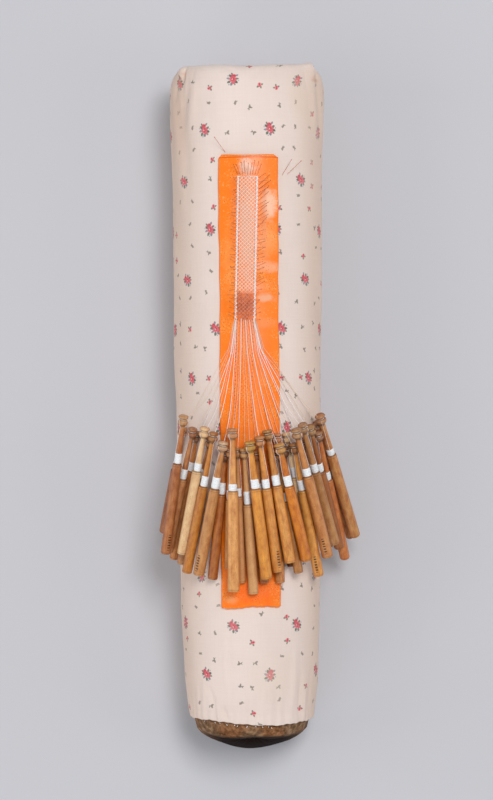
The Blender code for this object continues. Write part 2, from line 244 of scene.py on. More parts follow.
ROLL_TOP = np.array([reach_of_solid((0, y, 1), (0, 0, -1)).z for y in ROLL_Y])
ROLL_RADIUS = np.array([reach_of_solid((1, y, 0.45 * top), (-1, 0, 0)).x for y, top in zip(ROLL_Y, ROLL_TOP)])
ROLL_AXIS = ROLL_TOP - ROLL_RADIUS
full = np.searchsorted(ROLL_Y, SHOULDER_Y)
ROLL_AXIS[full:] = ROLL_AXIS[full - 1]
ROLL_RADIUS[full:] = ROLL_TOP[full:] - ROLL_AXIS[full - 1]


def roll_radius(y):
    return np.interp(y, ROLL_Y, ROLL_RADIUS)


def axis_height(y):
    return np.interp(y, ROLL_Y, ROLL_AXIS)


def on_roll(y, turn, lift=0.0):
    """Place on the roll: turn is the angle from the top line towards +X, lift the height over the cover."""
    radius = roll_radius(y) + lift
    return np.stack((radius * np.sin(turn), y + 0.0 * turn, axis_height(y) + radius * np.cos(turn)), axis=-1)


def turn_at(x, y, lift=0.0):
    return np.arcsin(np.clip(x / (roll_radius(y) + lift), -1, 1))


print("radius in mm at the hem, middle and shoulder:",
      [round(float(1000 * roll_radius(y)), 1) for y in (HEM_Y, 0, SHOULDER_Y)])

# %% [markdown]
# ## The cotton cover
#
# The cover is one tapered sleeve.  Its hem is turned under and tacked at the thin end, and at the thick end
# the cloth is folded in like a parcel, which leaves an ear at each upper corner.  It is drawn so tight that
# it shows only shallow creases: along the roll near both ends, where the width is taken in.
#
# A ring of points is extruded along the roll, section by section, and the end is closed.  Two subdivisions
# make it fine enough for creases, which are then pushed in, as with a sculpting brush.

# %% The sleeve from the hem to the folded end
COVER_SIDES = 72
HEM_TURNED = 0.009
ROUNDED_END_Y = 0.262               # the cloth starts to turn over the end here
END_FACE_Y, END_FACE_RADIUS = 0.2813, 0.0528        # the flat of the folded end


def ring_at(y, radius, height, sides):
    bpy.ops.mesh.primitive_circle_add(vertices=sides, radius=radius, location=(0, y, height),
                                      rotation=(math.pi / 2, 0, 0))


def pull_ring(from_y, to_y, from_radius, to_radius, from_height, to_height):
    """Extrude the selected ring to the next section of a round form that lies along Y."""
    bpy.ops.mesh.extrude_edges_move(
        TRANSFORM_OT_translate={"value": (0, to_y - from_y, to_height - from_height)})
    share = to_radius / from_radius
    bpy.ops.transform.resize(value=(share, share, share), center_override=(0, to_y, to_height))


def draw_out(name, sections, sides):
    """A round form from its sections (y, radius, height of its middle)."""
    select_only()
    ring_at(*sections[0], sides)
    piece = bpy.context.object
    piece.name = name
    settle(piece)
    bpy.ops.object.mode_set(mode="EDIT")
    bpy.ops.mesh.select_all(action="SELECT")
    for (y, radius, height), (next_y, next_radius, next_height) in zip(sections, sections[1:]):
        pull_ring(y, next_y, radius, next_radius, height, next_height)
    bpy.ops.object.mode_set(mode="OBJECT")
    return piece


def close_pole(piece, is_pole):
    """Merge the last small ring of an end into one point; is_pole tells a ring's points by their place."""
    select_only(piece)
    bpy.ops.object.mode_set(mode="EDIT")
    bpy.ops.mesh.select_mode(type="VERT")
    bpy.ops.mesh.select_all(action="DESELECT")
    bpy.ops.object.mode_set(mode="OBJECT")
    for vertex in piece.data.vertices:
        vertex.select = is_pole(vertex.co)
    bpy.ops.object.mode_set(mode="EDIT")
    bpy.ops.mesh.merge(type="CENTER")
    bpy.ops.mesh.select_all(action="SELECT")
    bpy.ops.mesh.normals_make_consistent(inside=False)
    bpy.ops.object.mode_set(mode="OBJECT")


# %% The cover, section by section
hem_radius = float(roll_radius(HEM_Y))
hem_axis = float(axis_height(HEM_Y))
inner = hem_radius - 1.1 * MM
cover_sections = [(HEM_Y + HEM_TURNED, inner, hem_axis), (HEM_Y + 1.2 * MM, inner, hem_axis),
                  (HEM_Y, hem_radius - 0.4 * MM, hem_axis), (HEM_Y + 0.5 * MM, hem_radius + 0.5 * MM, hem_axis),
                  (HEM_Y + HEM_TURNED - 1.5 * MM, hem_radius + 0.9 * MM, hem_axis + 0.2 * MM),
                  (HEM_Y + HEM_TURNED, hem_radius + 0.5 * MM, hem_axis + 0.2 * MM)]
for y in np.arange(HEM_Y + 0.017, ROUNDED_END_Y, 0.0078):
    cover_sections.append((float(y), float(roll_radius(y)), float(axis_height(y))))
end_height = float(axis_height(FOLDED_Y))
# the rim of the folded end: the cloth turns over it in a tight curve
for y, radius in ((0.2665, 62.9), (0.2715, 62.1), (0.2752, 61.1), (0.2780, 59.7), (0.2799, 57.9), (0.2809, 55.6),
                  (END_FACE_Y, 52.8)):
    cover_sections.append((y, radius * MM, end_height))
for share in (0.90, 0.78, 0.64, 0.5, 0.34, 0.18, 0.05):
    cover_sections.append((END_FACE_Y, share * END_FACE_RADIUS, end_height))
cover = draw_out("printed_cotton_cover", cover_sections, COVER_SIDES)
close_pole(cover, lambda place: place.y > FOLDED_Y and math.hypot(place.x, place.z - end_height) < 0.004)
apply_modifier(cover, "SUBSURF", levels=2, render_levels=2)
print("cover points:", len(cover.data.vertices))
# %% [markdown]
# The creases are lines on the flattened cloth, given as the distance from the top line and the place along
# the roll.  Each one lifts or sinks the points near it, most in its middle.  The ears and the tucks beside
# them are bumps on the rim of the folded end.  Last, the underside is pressed flat, as the roll's own weight
# does.

# %% Ears, tucks and creases
def bump(value, middle, spread):
    return np.exp(-((value - middle) / spread) ** 2)


# The rim of the folded end, seen from above: angle from the top line in degrees, and how far the cloth
# stands out there along the roll in mm.  It is slack in the middle and pulled out to the two ears.
FOLDED_RIM = ((-180, 0.0), (-100, 0.0), (-80, 0.5), (-70, 1.3), (-63, 2.0), (-55, 1.5), (-45, 1.2), (-25, 0.2),
              (-7, -1.6), (8, -1.4), (25, -0.1), (40, 1.1), (50, 1.9), (55, 3.0), (59, 3.9), (63, 2.6), (70, 1.2),
              (80, 0.5), (100, 0.0), (180, 0.0))
# How full the sides are: mm along the roll, then mm outwards on the left and on the right.
SIDE_FULLNESS = ((-268, 0.0, 0.0), (-257, 1.4, 1.0), (-238, 1.7, 1.7), (-214, 1.6, 1.4), (-172, 2.4, 0.9),
                 (-150, 1.4, 0.0), (-120, 0.6, 0.0), (-60, 0.4, -0.3), (0, 0.8, -1.6), (41, 1.6, -2.1),
                 (83, 1.2, -1.7), (126, 1.4, -1.1), (180, 0.6, -1.0), (211, 1.5, -0.7), (235, 2.6, 0.6),
                 (262, 3.0, 2.1), (276, 2.4, 2.2), (282, 2.2, 1.2))


def fold_relief(y, radius, turn):
    """How far the ears and tucks of the folded end move the cloth outwards and along the roll."""
    degrees = np.degrees(turn)
    rim = np.minimum(radius / 0.055, 1.0) ** 6
    near_end = np.clip((y - ROUNDED_END_Y) / 0.017, 0, 1) ** 1.5
    reach = np.interp(degrees, *np.transpose(FOLDED_RIM)) * near_end * rim
    left_ear = bump(degrees, -64, 9) * bump(y, 0.281, 0.007)
    right_ear = bump(degrees, 59, 8) * bump(y, 0.281, 0.008)
    left_slit = bump(degrees, -59.0, 2.2) * bump(y, 0.2735, 0.0055)
    right_tuck = bump(degrees, 68, 3.2) * bump(y, 0.2765, 0.006)
    side_tucks = bump(np.abs(degrees), 97, 9) * bump(y, 0.281, 0.008)
    outwards = rim * (2.6 * left_ear + 4.4 * right_ear - 4.6 * left_slit - 2.6 * right_tuck - 1.8 * side_tucks)
    left, right = (np.interp(1000 * y, *np.transpose(SIDE_FULLNESS)[[0, column]]) for column in (1, 2))
    fullness = np.where(turn < 0, left * bump(degrees, -92, 34), right * bump(degrees, 92, 34))
    return MM * (outwards + rim * fullness), MM * reach


# Creases: start and end as (mm from the top line, mm along the roll), height in mm, width in mm.
CREASES = (
    ((-47, 270), (-53, 234), 1.6, 5.6), ((-52, 240), (-47, 190), 0.7, 9.0), ((-58, 266), (-64, 232), -1.1, 6.0),
    ((-64, 236), (-60, 190), -0.6, 7.0), ((-80, 262), (-74, 214), 0.8, 5.0), ((-72, 270), (-76, 254), -0.8, 2.2),
    ((-69, 262), (-66, 243), 0.6, 2.4), ((-58, 272), (-61, 258), 0.6, 1.8), ((-40, 250), (-35, 205), 0.35, 4.0),
    ((-28, 262), (-22, 222), 0.25, 4.5), ((-86, 236), (-88, 200), -0.7, 4.0), ((-60, 214), (-58, 160), -0.5, 5.0),
    ((-44, 282), (-38, 262), 0.5, 3.0), ((-20, 281), (-8, 272), -0.5, 2.5), ((14, 281), (4, 270), -0.45, 2.5),
    ((-30, 281), (-22, 266), 0.4, 3.0), ((30, 282), (24, 266), 0.35, 3.0),
    ((62, 272), (70, 226), 1.1, 4.5), ((70, 270), (80, 232), -0.9, 3.4), ((84, 268), (92, 205), 0.8, 5.0),
    ((50, 279), (56, 262), -0.6, 1.6), ((-47, 279), (-50, 266), -0.5, 1.4),
    ((-38, -240), (-31, -261), -1.7, 2.2), ((-33, -252), (-27, -269), 1.7, 2.4),
    ((-25, -256), (-20, -269), -1.3, 1.9),
    ((-20, -196), (-17, -246), -0.6, 1.8), ((-24, -190), (-21, -240), 0.5, 3.0), ((-45, -266), (-44, -232), 0.9, 2.4),
    ((-52, -266), (-53, -238), 0.6, 2.4), ((36, -268), (40, -205), 1.1, 3.2), ((43, -268), (46, -226), -1.1, 2.2),
    ((50, -268), (52, -236), 1.0, 2.2),
    ((57, -266), (60, -228), -0.8, 2.4), ((12, -266), (10, -240), 0.5, 2.6), ((-8, -266), (-7, -244), 0.5, 2.6),
    ((22, -268), (20, -236), -0.5, 2.4), ((4, -268), (4, -246), -0.4, 2.0),
    ((-84, -150), (-78, -40), 0.7, 6.0), ((86, -160), (78, -60), 0.6, 6.0), ((-92, 20), (-84, 150), 0.7, 7.0),
    ((92, 40), (86, 170), 0.6, 7.0), ((118, -120), (122, 90), 0.9, 8.0), ((-120, -140), (-126, 60), 0.9, 8.0),
    ((-62, -190), (-40, -176), -0.45, 4.0), ((44, -172), (64, -186), -0.45, 4.0), ((-70, 60), (-44, 52), -0.35, 5.0),
)


# The hem's edge: angle from the top line in degrees, mm along the roll.
HEM_LINE = ((-180, -267.0), (-85, -267.2), (-58, -266.6), (-39, -266.2), (-10, -268.3), (12, -269.7), (29, -270.0),
            (46, -269.2), (80, -268.5), (180, -267.0))


def crease_relief(across, along, creases):
    relief = np.zeros_like(across)
    for (x0, y0), (x1, y1), height, width in creases:
        step = np.array((x1 - x0, y1 - y0), dtype=float)
        share = ((across - x0) * step[0] + (along - y0) * step[1]) / (step @ step)
        share = np.clip(share, 0, 1)
        distance = np.hypot(across - x0 - share * step[0], along - y0 - share * step[1])
        relief += height * np.exp(-(distance / width) ** 2) * (0.25 + 0.75 * np.sin(math.pi * (0.12 + 0.8 * share)))
    return relief


def soft_floor(height, depth=0.0, softness=0.0025):
    """Press points that would sink under the floor up to it, with a soft bend at the edge."""
    above = height - depth
    bent = 0.5 * (above + np.sqrt(above ** 2 + softness ** 2))
    return depth + bent - 0.5 * softness * np.exp(-(above / softness) ** 2)


# %% Moving the cover's points
x, y, z = points_of(cover).T
axis = axis_height(np.minimum(y, FOLDED_Y))
turn = np.arctan2(x, z - axis)
radius = np.hypot(x, z - axis)
across = 1000 * turn * roll_radius(y)
rim = np.clip((radius - 0.030) / 0.022, 0, 1)
outwards, along = fold_relief(y, radius, turn)
ripple = 0.30 * np.sin(across / 7.3 + 0.02 * 1000 * y) * np.sin(1000 * y / 31 + across / 17) \
    + 0.22 * np.sin(across / 13.1 - 1.1) * np.sin(1000 * y / 47)
off_card = np.clip((np.abs(across) - 26) / 10, 0, 1)
hem_zone = np.clip((HEM_Y + 0.030 - y) / 0.030, 0, 1)
gather = 0.45 * hem_zone * np.sin(turn * 43 + 1.2 * np.sin(5 * turn)) * np.clip(1.2 - np.abs(turn) / 2.4, 0, 1)
outwards = outwards + MM * rim * (crease_relief(across, 1000 * y, CREASES) + gather
                                  + ripple * (0.25 + 0.75 * off_card)) \
    * np.clip((0.284 - y) / 0.006, 0.0, 1.0)
wave = np.interp(np.degrees(turn), *np.transpose(HEM_LINE)) - 1000 * HEM_Y - 0.30 * np.sin(19 * turn) \
    - 0.18 * np.sin(47 * turn + 2)
along = along + MM * wave * np.clip((HEM_Y + 0.016 - y) / 0.014, 0, 1) * (radius > 0.03)
radius_out = radius + outwards
x = radius_out * np.sin(turn)
z = soft_floor(axis + radius_out * np.cos(turn))
y = y + along
# the folded end is drawn in a little, with the folds of the parcel across it
end_zone = (radius < END_FACE_RADIUS) * (y > 0.27) * np.clip(1 - radius / END_FACE_RADIUS, 0, 1) ** 0.7
PARCEL_FOLDS = (((-44, 30), (6, -6), 1.0, 3.0), ((44, 30), (-2, -2), 0.8, 3.0), ((-40, -34), (-8, -6), 0.7, 3.5),
                ((38, -32), (6, -8), 0.7, 3.5))
parcel = crease_relief(1000 * x, 1000 * (z - axis), PARCEL_FOLDS)
y = y - MM * end_zone * (2.2 - parcel)
cover_turn, cover_radius = turn, radius
move_points(cover, np.stack((x, y, z), axis=1))
print("cover box in mm:", np.round(1000 * np.stack((points_of(cover).min(0), points_of(cover).max(0))), 1).tolist())

# %% The cloth's own coordinates: metres round and along the roll
def cloth_map(piece, turn, radius):
    """UV map in metres: across is the way round from the top line, along is the way up the roll."""
    mesh = piece.data
    places = points_of(piece)
    layer = mesh.uv_layers.get("UVMap") or mesh.uv_layers.new(name="UVMap")
    loop_point = np.empty(len(mesh.loops), dtype=int)
    mesh.loops.foreach_get("vertex_index", loop_point)
    starts = np.array([face.loop_start for face in mesh.polygons])
    sizes = np.array([face.loop_total for face in mesh.polygons])
    loop_turn = turn[loop_point]
    first = np.repeat(loop_turn[starts], sizes)
    loop_turn = loop_turn + math.tau * np.round((first - loop_turn) / math.tau)
    along = places[loop_point, 1]
    around = loop_turn * roll_radius(along)
    on_end = (radius[loop_point] < 0.0530) & (along > FOLDED_Y - 0.01)
    over_rim = np.where(along > ROUNDED_END_Y, 0.75 * np.clip(0.0629 - radius[loop_point], 0, 0.0101), 0)
    along = along + over_rim
    end_face = np.repeat(np.maximum.reduceat(on_end.astype(int), starts), sizes).astype(bool)
    middle = axis_height(FOLDED_Y)
    around = np.where(end_face, places[loop_point, 0], around)
    along = np.where(end_face, FOLDED_Y + 0.0609 - (places[loop_point, 2] - middle), along)
    layer.data.foreach_set("uv", np.stack((around, along), axis=1).ravel())


cloth_map(cover, cover_turn, cover_radius)
select_only(cover)
bpy.ops.object.shade_smooth()

# %% [markdown]
# ### Printed cotton
#
# The cover is a plain-weave cotton, printed by roller with small bunches of roses and scattered sprigs.  A
# print repeats on a fixed lattice, so the pattern is one too: the place on the cloth is folded back into a
# single repeat, and the flowers are stamped there from soft-edged leaf and petal shapes.  The sprigs between
# them are looser, so they stand on the points of a Voronoi cell pattern.

# %% Cotton: the place on the cloth in mm
cotton, tree, shader = new_material("cotton_plain_weave_roller_printed", Roughness=0.88, Sheen_Weight=0.10,
                                    Sheen_Roughness=0.55, Specular_IOR_Level=0.30)
cloth_uv = add_node(tree, "UVMap", uv_map="UVMap")
cloth_mm = add_node(tree, "Mapping", {"Vector": cloth_uv.outputs["UV"], "Scale": (1000, 1000, 1000)})
wander = add_node(tree, "TexNoise", {"Vector": cloth_mm.outputs["Vector"], "Scale": 0.55, "Detail": 2.0},
                  noise_dimensions="2D")
wander_mm = add_node(tree, "VectorMath", {0: wander.outputs["Color"], 1: (0.5, 0.5, 0.5)},
                     operation="SUBTRACT")
print_place = add_node(tree, "VectorMath",
                       {0: wander_mm.outputs[0], 1: (0.85, 0.85, 0.0), 2: cloth_mm.outputs["Vector"]},
                       operation="MULTIPLY_ADD")

# %% Cotton: folding the cloth into one repeat of the print
REPEAT_ACROSS, REPEAT_UP, ROW_SHIFT = 56.5, 41.2, 25.95
FIRST_BUNCH = (-12.1, 267.7)


def fold_into_repeat(place):
    """Place within the nearest repeat, and the number of that repeat."""
    moved = add_node(tree, "VectorMath", {0: place, 1: (*FIRST_BUNCH, 0)}, operation="SUBTRACT")
    parts = add_node(tree, "SeparateXYZ", {0: moved.outputs[0]})
    rows = add_node(tree, "Math", {0: parts.outputs["Y"], 1: REPEAT_UP}, operation="DIVIDE")
    row = add_node(tree, "Math", {0: rows.outputs[0]}, operation="ROUND")
    shifted = add_node(tree, "Math", {0: row.outputs[0], 1: -ROW_SHIFT, 2: parts.outputs["X"]},
                       operation="MULTIPLY_ADD")
    columns = add_node(tree, "Math", {0: shifted.outputs[0], 1: REPEAT_ACROSS}, operation="DIVIDE")
    column = add_node(tree, "Math", {0: columns.outputs[0]}, operation="ROUND")
    local_x = add_node(tree, "Math", {0: column.outputs[0], 1: -REPEAT_ACROSS, 2: shifted.outputs[0]},
                       operation="MULTIPLY_ADD")
    local_y = add_node(tree, "Math", {0: row.outputs[0], 1: -REPEAT_UP, 2: parts.outputs["Y"]},
                       operation="MULTIPLY_ADD")
    local = add_node(tree, "CombineXYZ", {"X": local_x.outputs[0], "Y": local_y.outputs[0]})
    number = add_node(tree, "CombineXYZ", {"X": column.outputs[0], "Y": row.outputs[0]})
    return local.outputs[0], number.outputs[0]


in_repeat, repeat_number = fold_into_repeat(print_place.outputs[0])
repeat_chance = add_node(tree, "TexWhiteNoise", {"Vector": repeat_number}, noise_dimensions="2D")
bunch_turn = add_node(tree, "Math", {0: repeat_chance.outputs["Value"], 1: 1.5, 2: -0.75},
                      operation="MULTIPLY_ADD")
bunch_place = add_node(tree, "VectorRotate", {"Vector": in_repeat, "Angle": bunch_turn.outputs[0]},
                       rotation_type="Z_AXIS")

# %% Cotton: stamps
def stamp(colour_so_far, place, shape, at, long, wide, angle, ink, strength=1.0, softness=0.20):
    """Print one leaf or petal over the colour so far, long and wide in mm."""
    fitted = add_node(tree, "Mapping",
                      {"Vector": place, "Location": (*at, 0), "Rotation": (0, 0, math.radians(angle)),
                       "Scale": (long, wide, 1)}, vector_type="TEXTURE")
    if shape == "leaf":      # two arcs that meet in points
        parts = add_node(tree, "SeparateXYZ", {0: fitted.outputs[0]})
        width = add_node(tree, "Math", {0: parts.outputs["Y"]}, operation="ABSOLUTE")
        reach = add_node(tree, "Math", {0: parts.outputs["X"], 1: parts.outputs["X"],
                                                  2: width.outputs[0]}, operation="MULTIPLY_ADD")
        distance = reach.outputs[0]
    else:
        distance = add_node(tree, "VectorMath", {0: fitted.outputs[0]}, operation="LENGTH").outputs["Value"]
    inside = add_node(tree, "MapRange", {"Value": distance, "From Min": 1 - softness,
                                                   "From Max": 1 + softness, "To Min": strength,
                                                   "To Max": 0.0}).outputs["Result"]
    colour = linear(ink) if isinstance(ink, str) else ink
    mixed = add_node(tree, "Mix", {"Factor": inside, "A": colour_so_far, "B": colour}, data_type="RGBA")
    return mixed.outputs["Result"]


def stamp_all(colour, place, stamps, strength):
    for shape, at, long, wide, angle, ink in stamps:
        colour = stamp(colour, place, shape, at, long, wide, angle, ink, strength)
    return colour


# %% Cotton: the undyed cloth
# Cream, a little uneven and yellower in patches, with fine lines of thicker yarn
shade = add_node(tree, "TexNoise", {"Vector": cloth_mm.outputs["Vector"], "Scale": 0.018, "Detail": 3.0},
                 noise_dimensions="2D")
cloth_shade = add_node(tree, "Mix", {"Factor": shade.outputs["Fac"], "A": linear("#E2CFC4"), "B": linear("#EFDFD7")},
                       data_type="RGBA")
lines_across = add_node(tree, "Mapping", {"Vector": cloth_mm.outputs["Vector"], "Scale": (0.035, 0.75, 1)})
weft = add_node(tree, "TexNoise", {"Vector": lines_across.outputs[0], "Scale": 1.0, "Detail": 2.0},
                noise_dimensions="2D")
lines_up = add_node(tree, "Mapping", {"Vector": cloth_mm.outputs["Vector"], "Scale": (0.75, 0.03, 1)})
warp = add_node(tree, "TexNoise", {"Vector": lines_up.outputs[0], "Scale": 1.0, "Detail": 2.0},
                noise_dimensions="2D")
yarn = add_node(tree, "Math", {0: weft.outputs["Fac"], 1: warp.outputs["Fac"]}, operation="ADD")
yarn_light = add_node(tree, "MapRange", {"Value": yarn.outputs[0], "From Min": 0.70, "From Max": 1.30,
                                                   "To Min": 0.984, "To Max": 1.012})
cloth_colour = add_node(tree, "VectorMath", {0: cloth_shade.outputs["Result"],
                                                       "Scale": yarn_light.outputs["Result"]}, operation="SCALE")
# painted shade: the sides beyond the reach of the card, where the roll turns away from the light, are made warmer and
# a little darker
sides = add_node(tree, "SeparateXYZ", {0: cloth_mm.outputs["Vector"]})
from_top = add_node(tree, "Math", {0: sides.outputs["X"]}, operation="ABSOLUTE")
uneven = add_node(tree, "Math", {0: shade.outputs["Fac"], 1: 26.0, 2: from_top.outputs[0]},
                  operation="MULTIPLY_ADD")
side_shade = add_node(tree, "MapRange", {"Value": uneven.outputs[0], "From Min": 44.0, "From Max": 88.0,
                                               "To Min": 0.0, "To Max": 1.0},
                  interpolation_type="SMOOTHSTEP")
side_shaded_cloth = add_node(tree, "Mix", {"Factor": side_shade.outputs["Result"],
                            "A": cloth_colour.outputs[0], "B": linear("#F4EBE2")},
                     data_type="RGBA", blend_type="MULTIPLY")
bare_cloth = side_shaded_cloth.outputs["Result"]
print("cloth nodes:", len(tree.nodes))

# %% Cotton: sprigs and rosebuds between the bunches
SPRIG_SPACING = 20.0
cells = add_node(tree, "TexVoronoi", {"Vector": print_place.outputs[0], "Scale": 1 / SPRIG_SPACING,
                                                "Randomness": 0.62}, voronoi_dimensions="2D", feature="F1")
from_sprig = add_node(tree, "VectorMath", {0: print_place.outputs[0], 1: cells.outputs["Position"]},
                      operation="SUBTRACT")
chance = add_node(tree, "SeparateColor", {0: cells.outputs["Color"]})
sprig_turn = add_node(tree, "Math", {0: chance.outputs["Red"], 1: math.tau}, operation="MULTIPLY")
sprig_place = add_node(tree, "VectorRotate", {"Vector": from_sprig.outputs[0],
                                                        "Angle": sprig_turn.outputs[0]}, rotation_type="Z_AXIS")
clear_of_bunch, _ = fold_into_repeat(cells.outputs["Position"])
bunch_gap = add_node(tree, "VectorMath", {0: clear_of_bunch}, operation="LENGTH")
clear = add_node(tree, "Math", {0: bunch_gap.outputs["Value"], 1: 10.5}, operation="GREATER_THAN")
is_bud = add_node(tree, "Math", {0: chance.outputs["Green"], 1: 0.24}, operation="LESS_THAN")
is_dash = add_node(tree, "Math", {0: chance.outputs["Green"], 1: 0.62}, operation="GREATER_THAN")
# each stamp: shape, its middle in mm, length, width, angle, ink
SPRIG = (("round", (0.1, -0.8), 1.9, 0.34, 80, "#8F857A"), ("leaf", (-0.8, 0.4), 1.6, 0.90, 132, "#736F66"),
         ("leaf", (0.7, 0.7), 1.3, 0.70, 40, "#827A70"), ("leaf", (0.8, -1.5), 1.1, 0.55, -28, "#7B7B72"))
DASH = (("leaf", (-0.2, 0.1), 2.2, 0.95, 8, "#7E766B"), ("round", (1.2, -0.7), 0.9, 0.45, -40, "#8F867B"),
        ("round", (-1.2, 0.9), 0.6, 0.4, 60, "#9A8A80"))
ROSEBUD = (("leaf", (-1.7, 0.8), 1.5, 0.85, 150, "#5F7062"), ("leaf", (-1.1, -1.5), 1.4, 0.8, 215, "#77836F"),
           ("leaf", (1.4, -1.3), 1.1, 0.7, -35, "#6F8068"), ("round", (0.1, 0.3), 1.9, 1.5, 30, "#E2858A"),
           ("round", (0.6, 0.8), 0.95, 0.6, 40, "#C23A4C"), ("round", (-0.6, -0.2), 0.8, 0.5, 10, "#C8485A"))
sprig = stamp_all(bare_cloth, sprig_place.outputs[0], SPRIG, 0.80)
dash = stamp_all(bare_cloth, sprig_place.outputs[0], DASH, 0.80)
bud = stamp_all(bare_cloth, sprig_place.outputs[0], ROSEBUD, 0.92)
one_colour = add_node(tree, "Mix", {"Factor": is_dash.outputs[0], "A": sprig, "B": dash}, data_type="RGBA")
sprig = one_colour.outputs["Result"]
either = add_node(tree, "Mix", {"Factor": is_bud.outputs[0], "A": sprig, "B": bud}, data_type="RGBA")
scattered = add_node(tree, "Mix", {"Factor": clear.outputs[0], "A": bare_cloth, "B": either.outputs["Result"]},
                     data_type="RGBA")

# %% Cotton: the bunch of roses
bunch = scattered.outputs["Result"]
BUNCH_LEAVES = (((3.2, -0.6), 2.1, 1.2, -14, "#33503C"), ((2.6, 2.1), 1.8, 1.0, 38, "#4E6A54"),
                ((-2.9, 1.6), 2.2, 1.2, 152, "#3C5644"), ((-3.5, -1.2), 1.7, 1.0, 196, "#8A8894"),
                ((-1.7, -3.7), 1.9, 1.1, 238, "#4F6A58"), ((1.0, -4.2), 1.7, 1.1, 285, "#74747E"),
                ((3.4, -2.8), 1.3, 0.8, -48, "#6E8472"), ((1.1, 5.0), 1.4, 0.9, 62, "#84828E"),
                ((-3.2, 4.2), 1.3, 0.8, 128, "#5A6E5E"))
for at, long, wide, angle, ink in BUNCH_LEAVES:
    bunch = stamp(bunch, bunch_place.outputs[0], "leaf", at, long, wide, angle, ink, 0.88)
for at, size, ink in (((-4.9, 1.0), 0.8, "#B8B0B6"), ((4.8, 1.4), 0.7, "#AAA4AC"), ((-0.6, -5.6), 0.7, "#A8A2AA")):
    bunch = stamp(bunch, bunch_place.outputs[0], "round", at, size, size, 0, ink, 0.75)
petals = add_node(tree, "TexVoronoi", {"Vector": bunch_place.outputs[0], "Scale": 0.70, "Randomness": 1.0},
                  voronoi_dimensions="2D", feature="F1")
for at, wide, high, heart, deep, edge in (((1.9, -2.3), 1.5, 1.25, "#E4808A", "#B8283E", "#DC7480"),
                                          ((-1.0, 3.2), 2.1, 1.75, "#DC6470", "#A01C34", "#D2525E"),
                                          ((0.1, 0.0), 2.95, 2.6, "#F6D2CC", "#BC1E36", "#E26A76")):
    turned = add_node(tree, "Mapping",
                      {"Vector": bunch_place.outputs[0], "Location": (*at, 0), "Rotation": (0, 0, 0.5),
                       "Scale": (wide, high, 1)}, vector_type="TEXTURE")
    opened = add_node(tree, "VectorMath", {0: turned.outputs[0]}, operation="LENGTH")
    petal = add_node(tree, "Math", {0: petals.outputs["Distance"], 1: 0.75, 2: opened.outputs["Value"]},
                     operation="MULTIPLY_ADD")
    rose = add_node(tree, "ValToRGB", {"Fac": petal.outputs[0]})
    ramp = rose.color_ramp
    ramp.elements[0].position, ramp.elements[0].color = 0.42, linear(heart)
    ramp.elements[1].position, ramp.elements[1].color = 1.0, linear(edge)
    ramp.elements.new(0.64).color = linear(deep)
    bunch = stamp(bunch, bunch_place.outputs[0], "round", at, wide, high, 29, rose.outputs["Color"], 0.95)
LAST_ROW = -12.5        # the row of bunches past this, nearest the hem, is turned under with the cloth
row_number = add_node(tree, "SeparateXYZ", {0: repeat_number})
shows = add_node(tree, "Math", {0: row_number.outputs["Y"], 1: LAST_ROW}, operation="GREATER_THAN")
printed = add_node(tree, "Mix", {"Factor": shows.outputs[0], "A": scattered.outputs["Result"], "B": bunch},
                   data_type="RGBA")

# %% Cotton: stains, with painted shade in the folds at the ears and on the sides
cloth_so_far = printed.outputs["Result"]
# Brown stains, with painted shade over some of them. The dark insides of the folds at the ears, too narrow for the
# mesh, are painted shade over stains. So are the broad darker patches on the sides near the folded end, where the
# cloth turns away from the light.
STAINS_AND_PAINTED_SHADE = (((-66.5, 274.5), 1.0, 2.6, 8, "#6E4034", 0.85), ((-67.5, 269.5), 0.8, 3.0, -6, "#A4715C", 0.7),
          ((-61.0, 276.5), 1.6, 2.4, 30, "#D8A890", 0.5), ((68.0, 270.5), 5.0, 1.6, 4, "#B98558", 0.65),
          ((64.0, 272.6), 3.0, 2.4, 20, "#D2A987", 0.55), ((66.0, 276.5), 1.2, 3.0, -10, "#B08488", 0.5),
          ((48.0, 252.0), 9.0, 16.0, 20, "#E2CBB6", 0.45), ((-72.0, 240.0), 10.0, 26.0, 4, "#D3B5A2", 0.55),
          ((-78.0, 190.0), 9.0, 40.0, 2, "#DCC3B2", 0.45), ((66.0, 215.0), 12.0, 40.0, -3, "#DCC6B6", 0.40),
          ((-30.0, -150.0), 14.0, 30.0, 10, "#E2D0C4", 0.35), ((24.0, -232.0), 20.0, 16.0, -12, "#E3CDBB", 0.35))
for at, wide, high, angle, ink, strength in STAINS_AND_PAINTED_SHADE:
    cloth_so_far = stamp(cloth_so_far, cloth_mm.outputs["Vector"], "round", at, wide, high, angle, ink, strength,
                         softness=0.75)
tree.links.new(cloth_so_far, shader.inputs["Base Color"])

# %% Cotton: weave and slubs in the relief
# Real yarns are about 0.35 mm apart.  The weave is drawn at 0.9 mm, so that it shows in a close view.
over_under = add_node(tree, "Mapping", {"Vector": cloth_mm.outputs["Vector"],
                                                  "Scale": (math.tau / 0.9, math.tau / 0.9, 1)})
phase = add_node(tree, "SeparateXYZ", {0: over_under.outputs[0]})
over = add_node(tree, "Math", {0: phase.outputs["X"]}, operation="SINE")
under = add_node(tree, "Math", {0: phase.outputs["Y"]}, operation="SINE")
weave = add_node(tree, "Math", {0: over.outputs[0], 1: under.outputs[0]}, operation="MULTIPLY")
weave_height = add_node(tree, "Math", {0: yarn.outputs[0], 1: 2.4, 2: weave.outputs[0]},
                        operation="MULTIPLY_ADD")
weave_bump = add_node(tree, "Bump", {"Height": weave_height.outputs[0], "Strength": 0.35,
                                               "Distance": 0.00012})
tree.links.new(weave_bump.outputs["Normal"], shader.inputs["Normal"])
finish_piece(cover, cotton, "cotton", "pillow_cover")
# %% [markdown]
# ## The end of the stuffed bag
#
# At the thin end the cover stops short, and the bag inside shows: old brown leather cloth over straw.  Its
# rim is still firm and nearly square, but the stuffing has sunk, so the foot of the end stands out on the
# table, in the shade of the rim.
#
# The profile is measured on the solid as the cover's was, drawn out upright as a round form, and its foot is
# then pulled forward.  Shallow puckers run in from the rim, where the leather cloth is gathered under the hem.

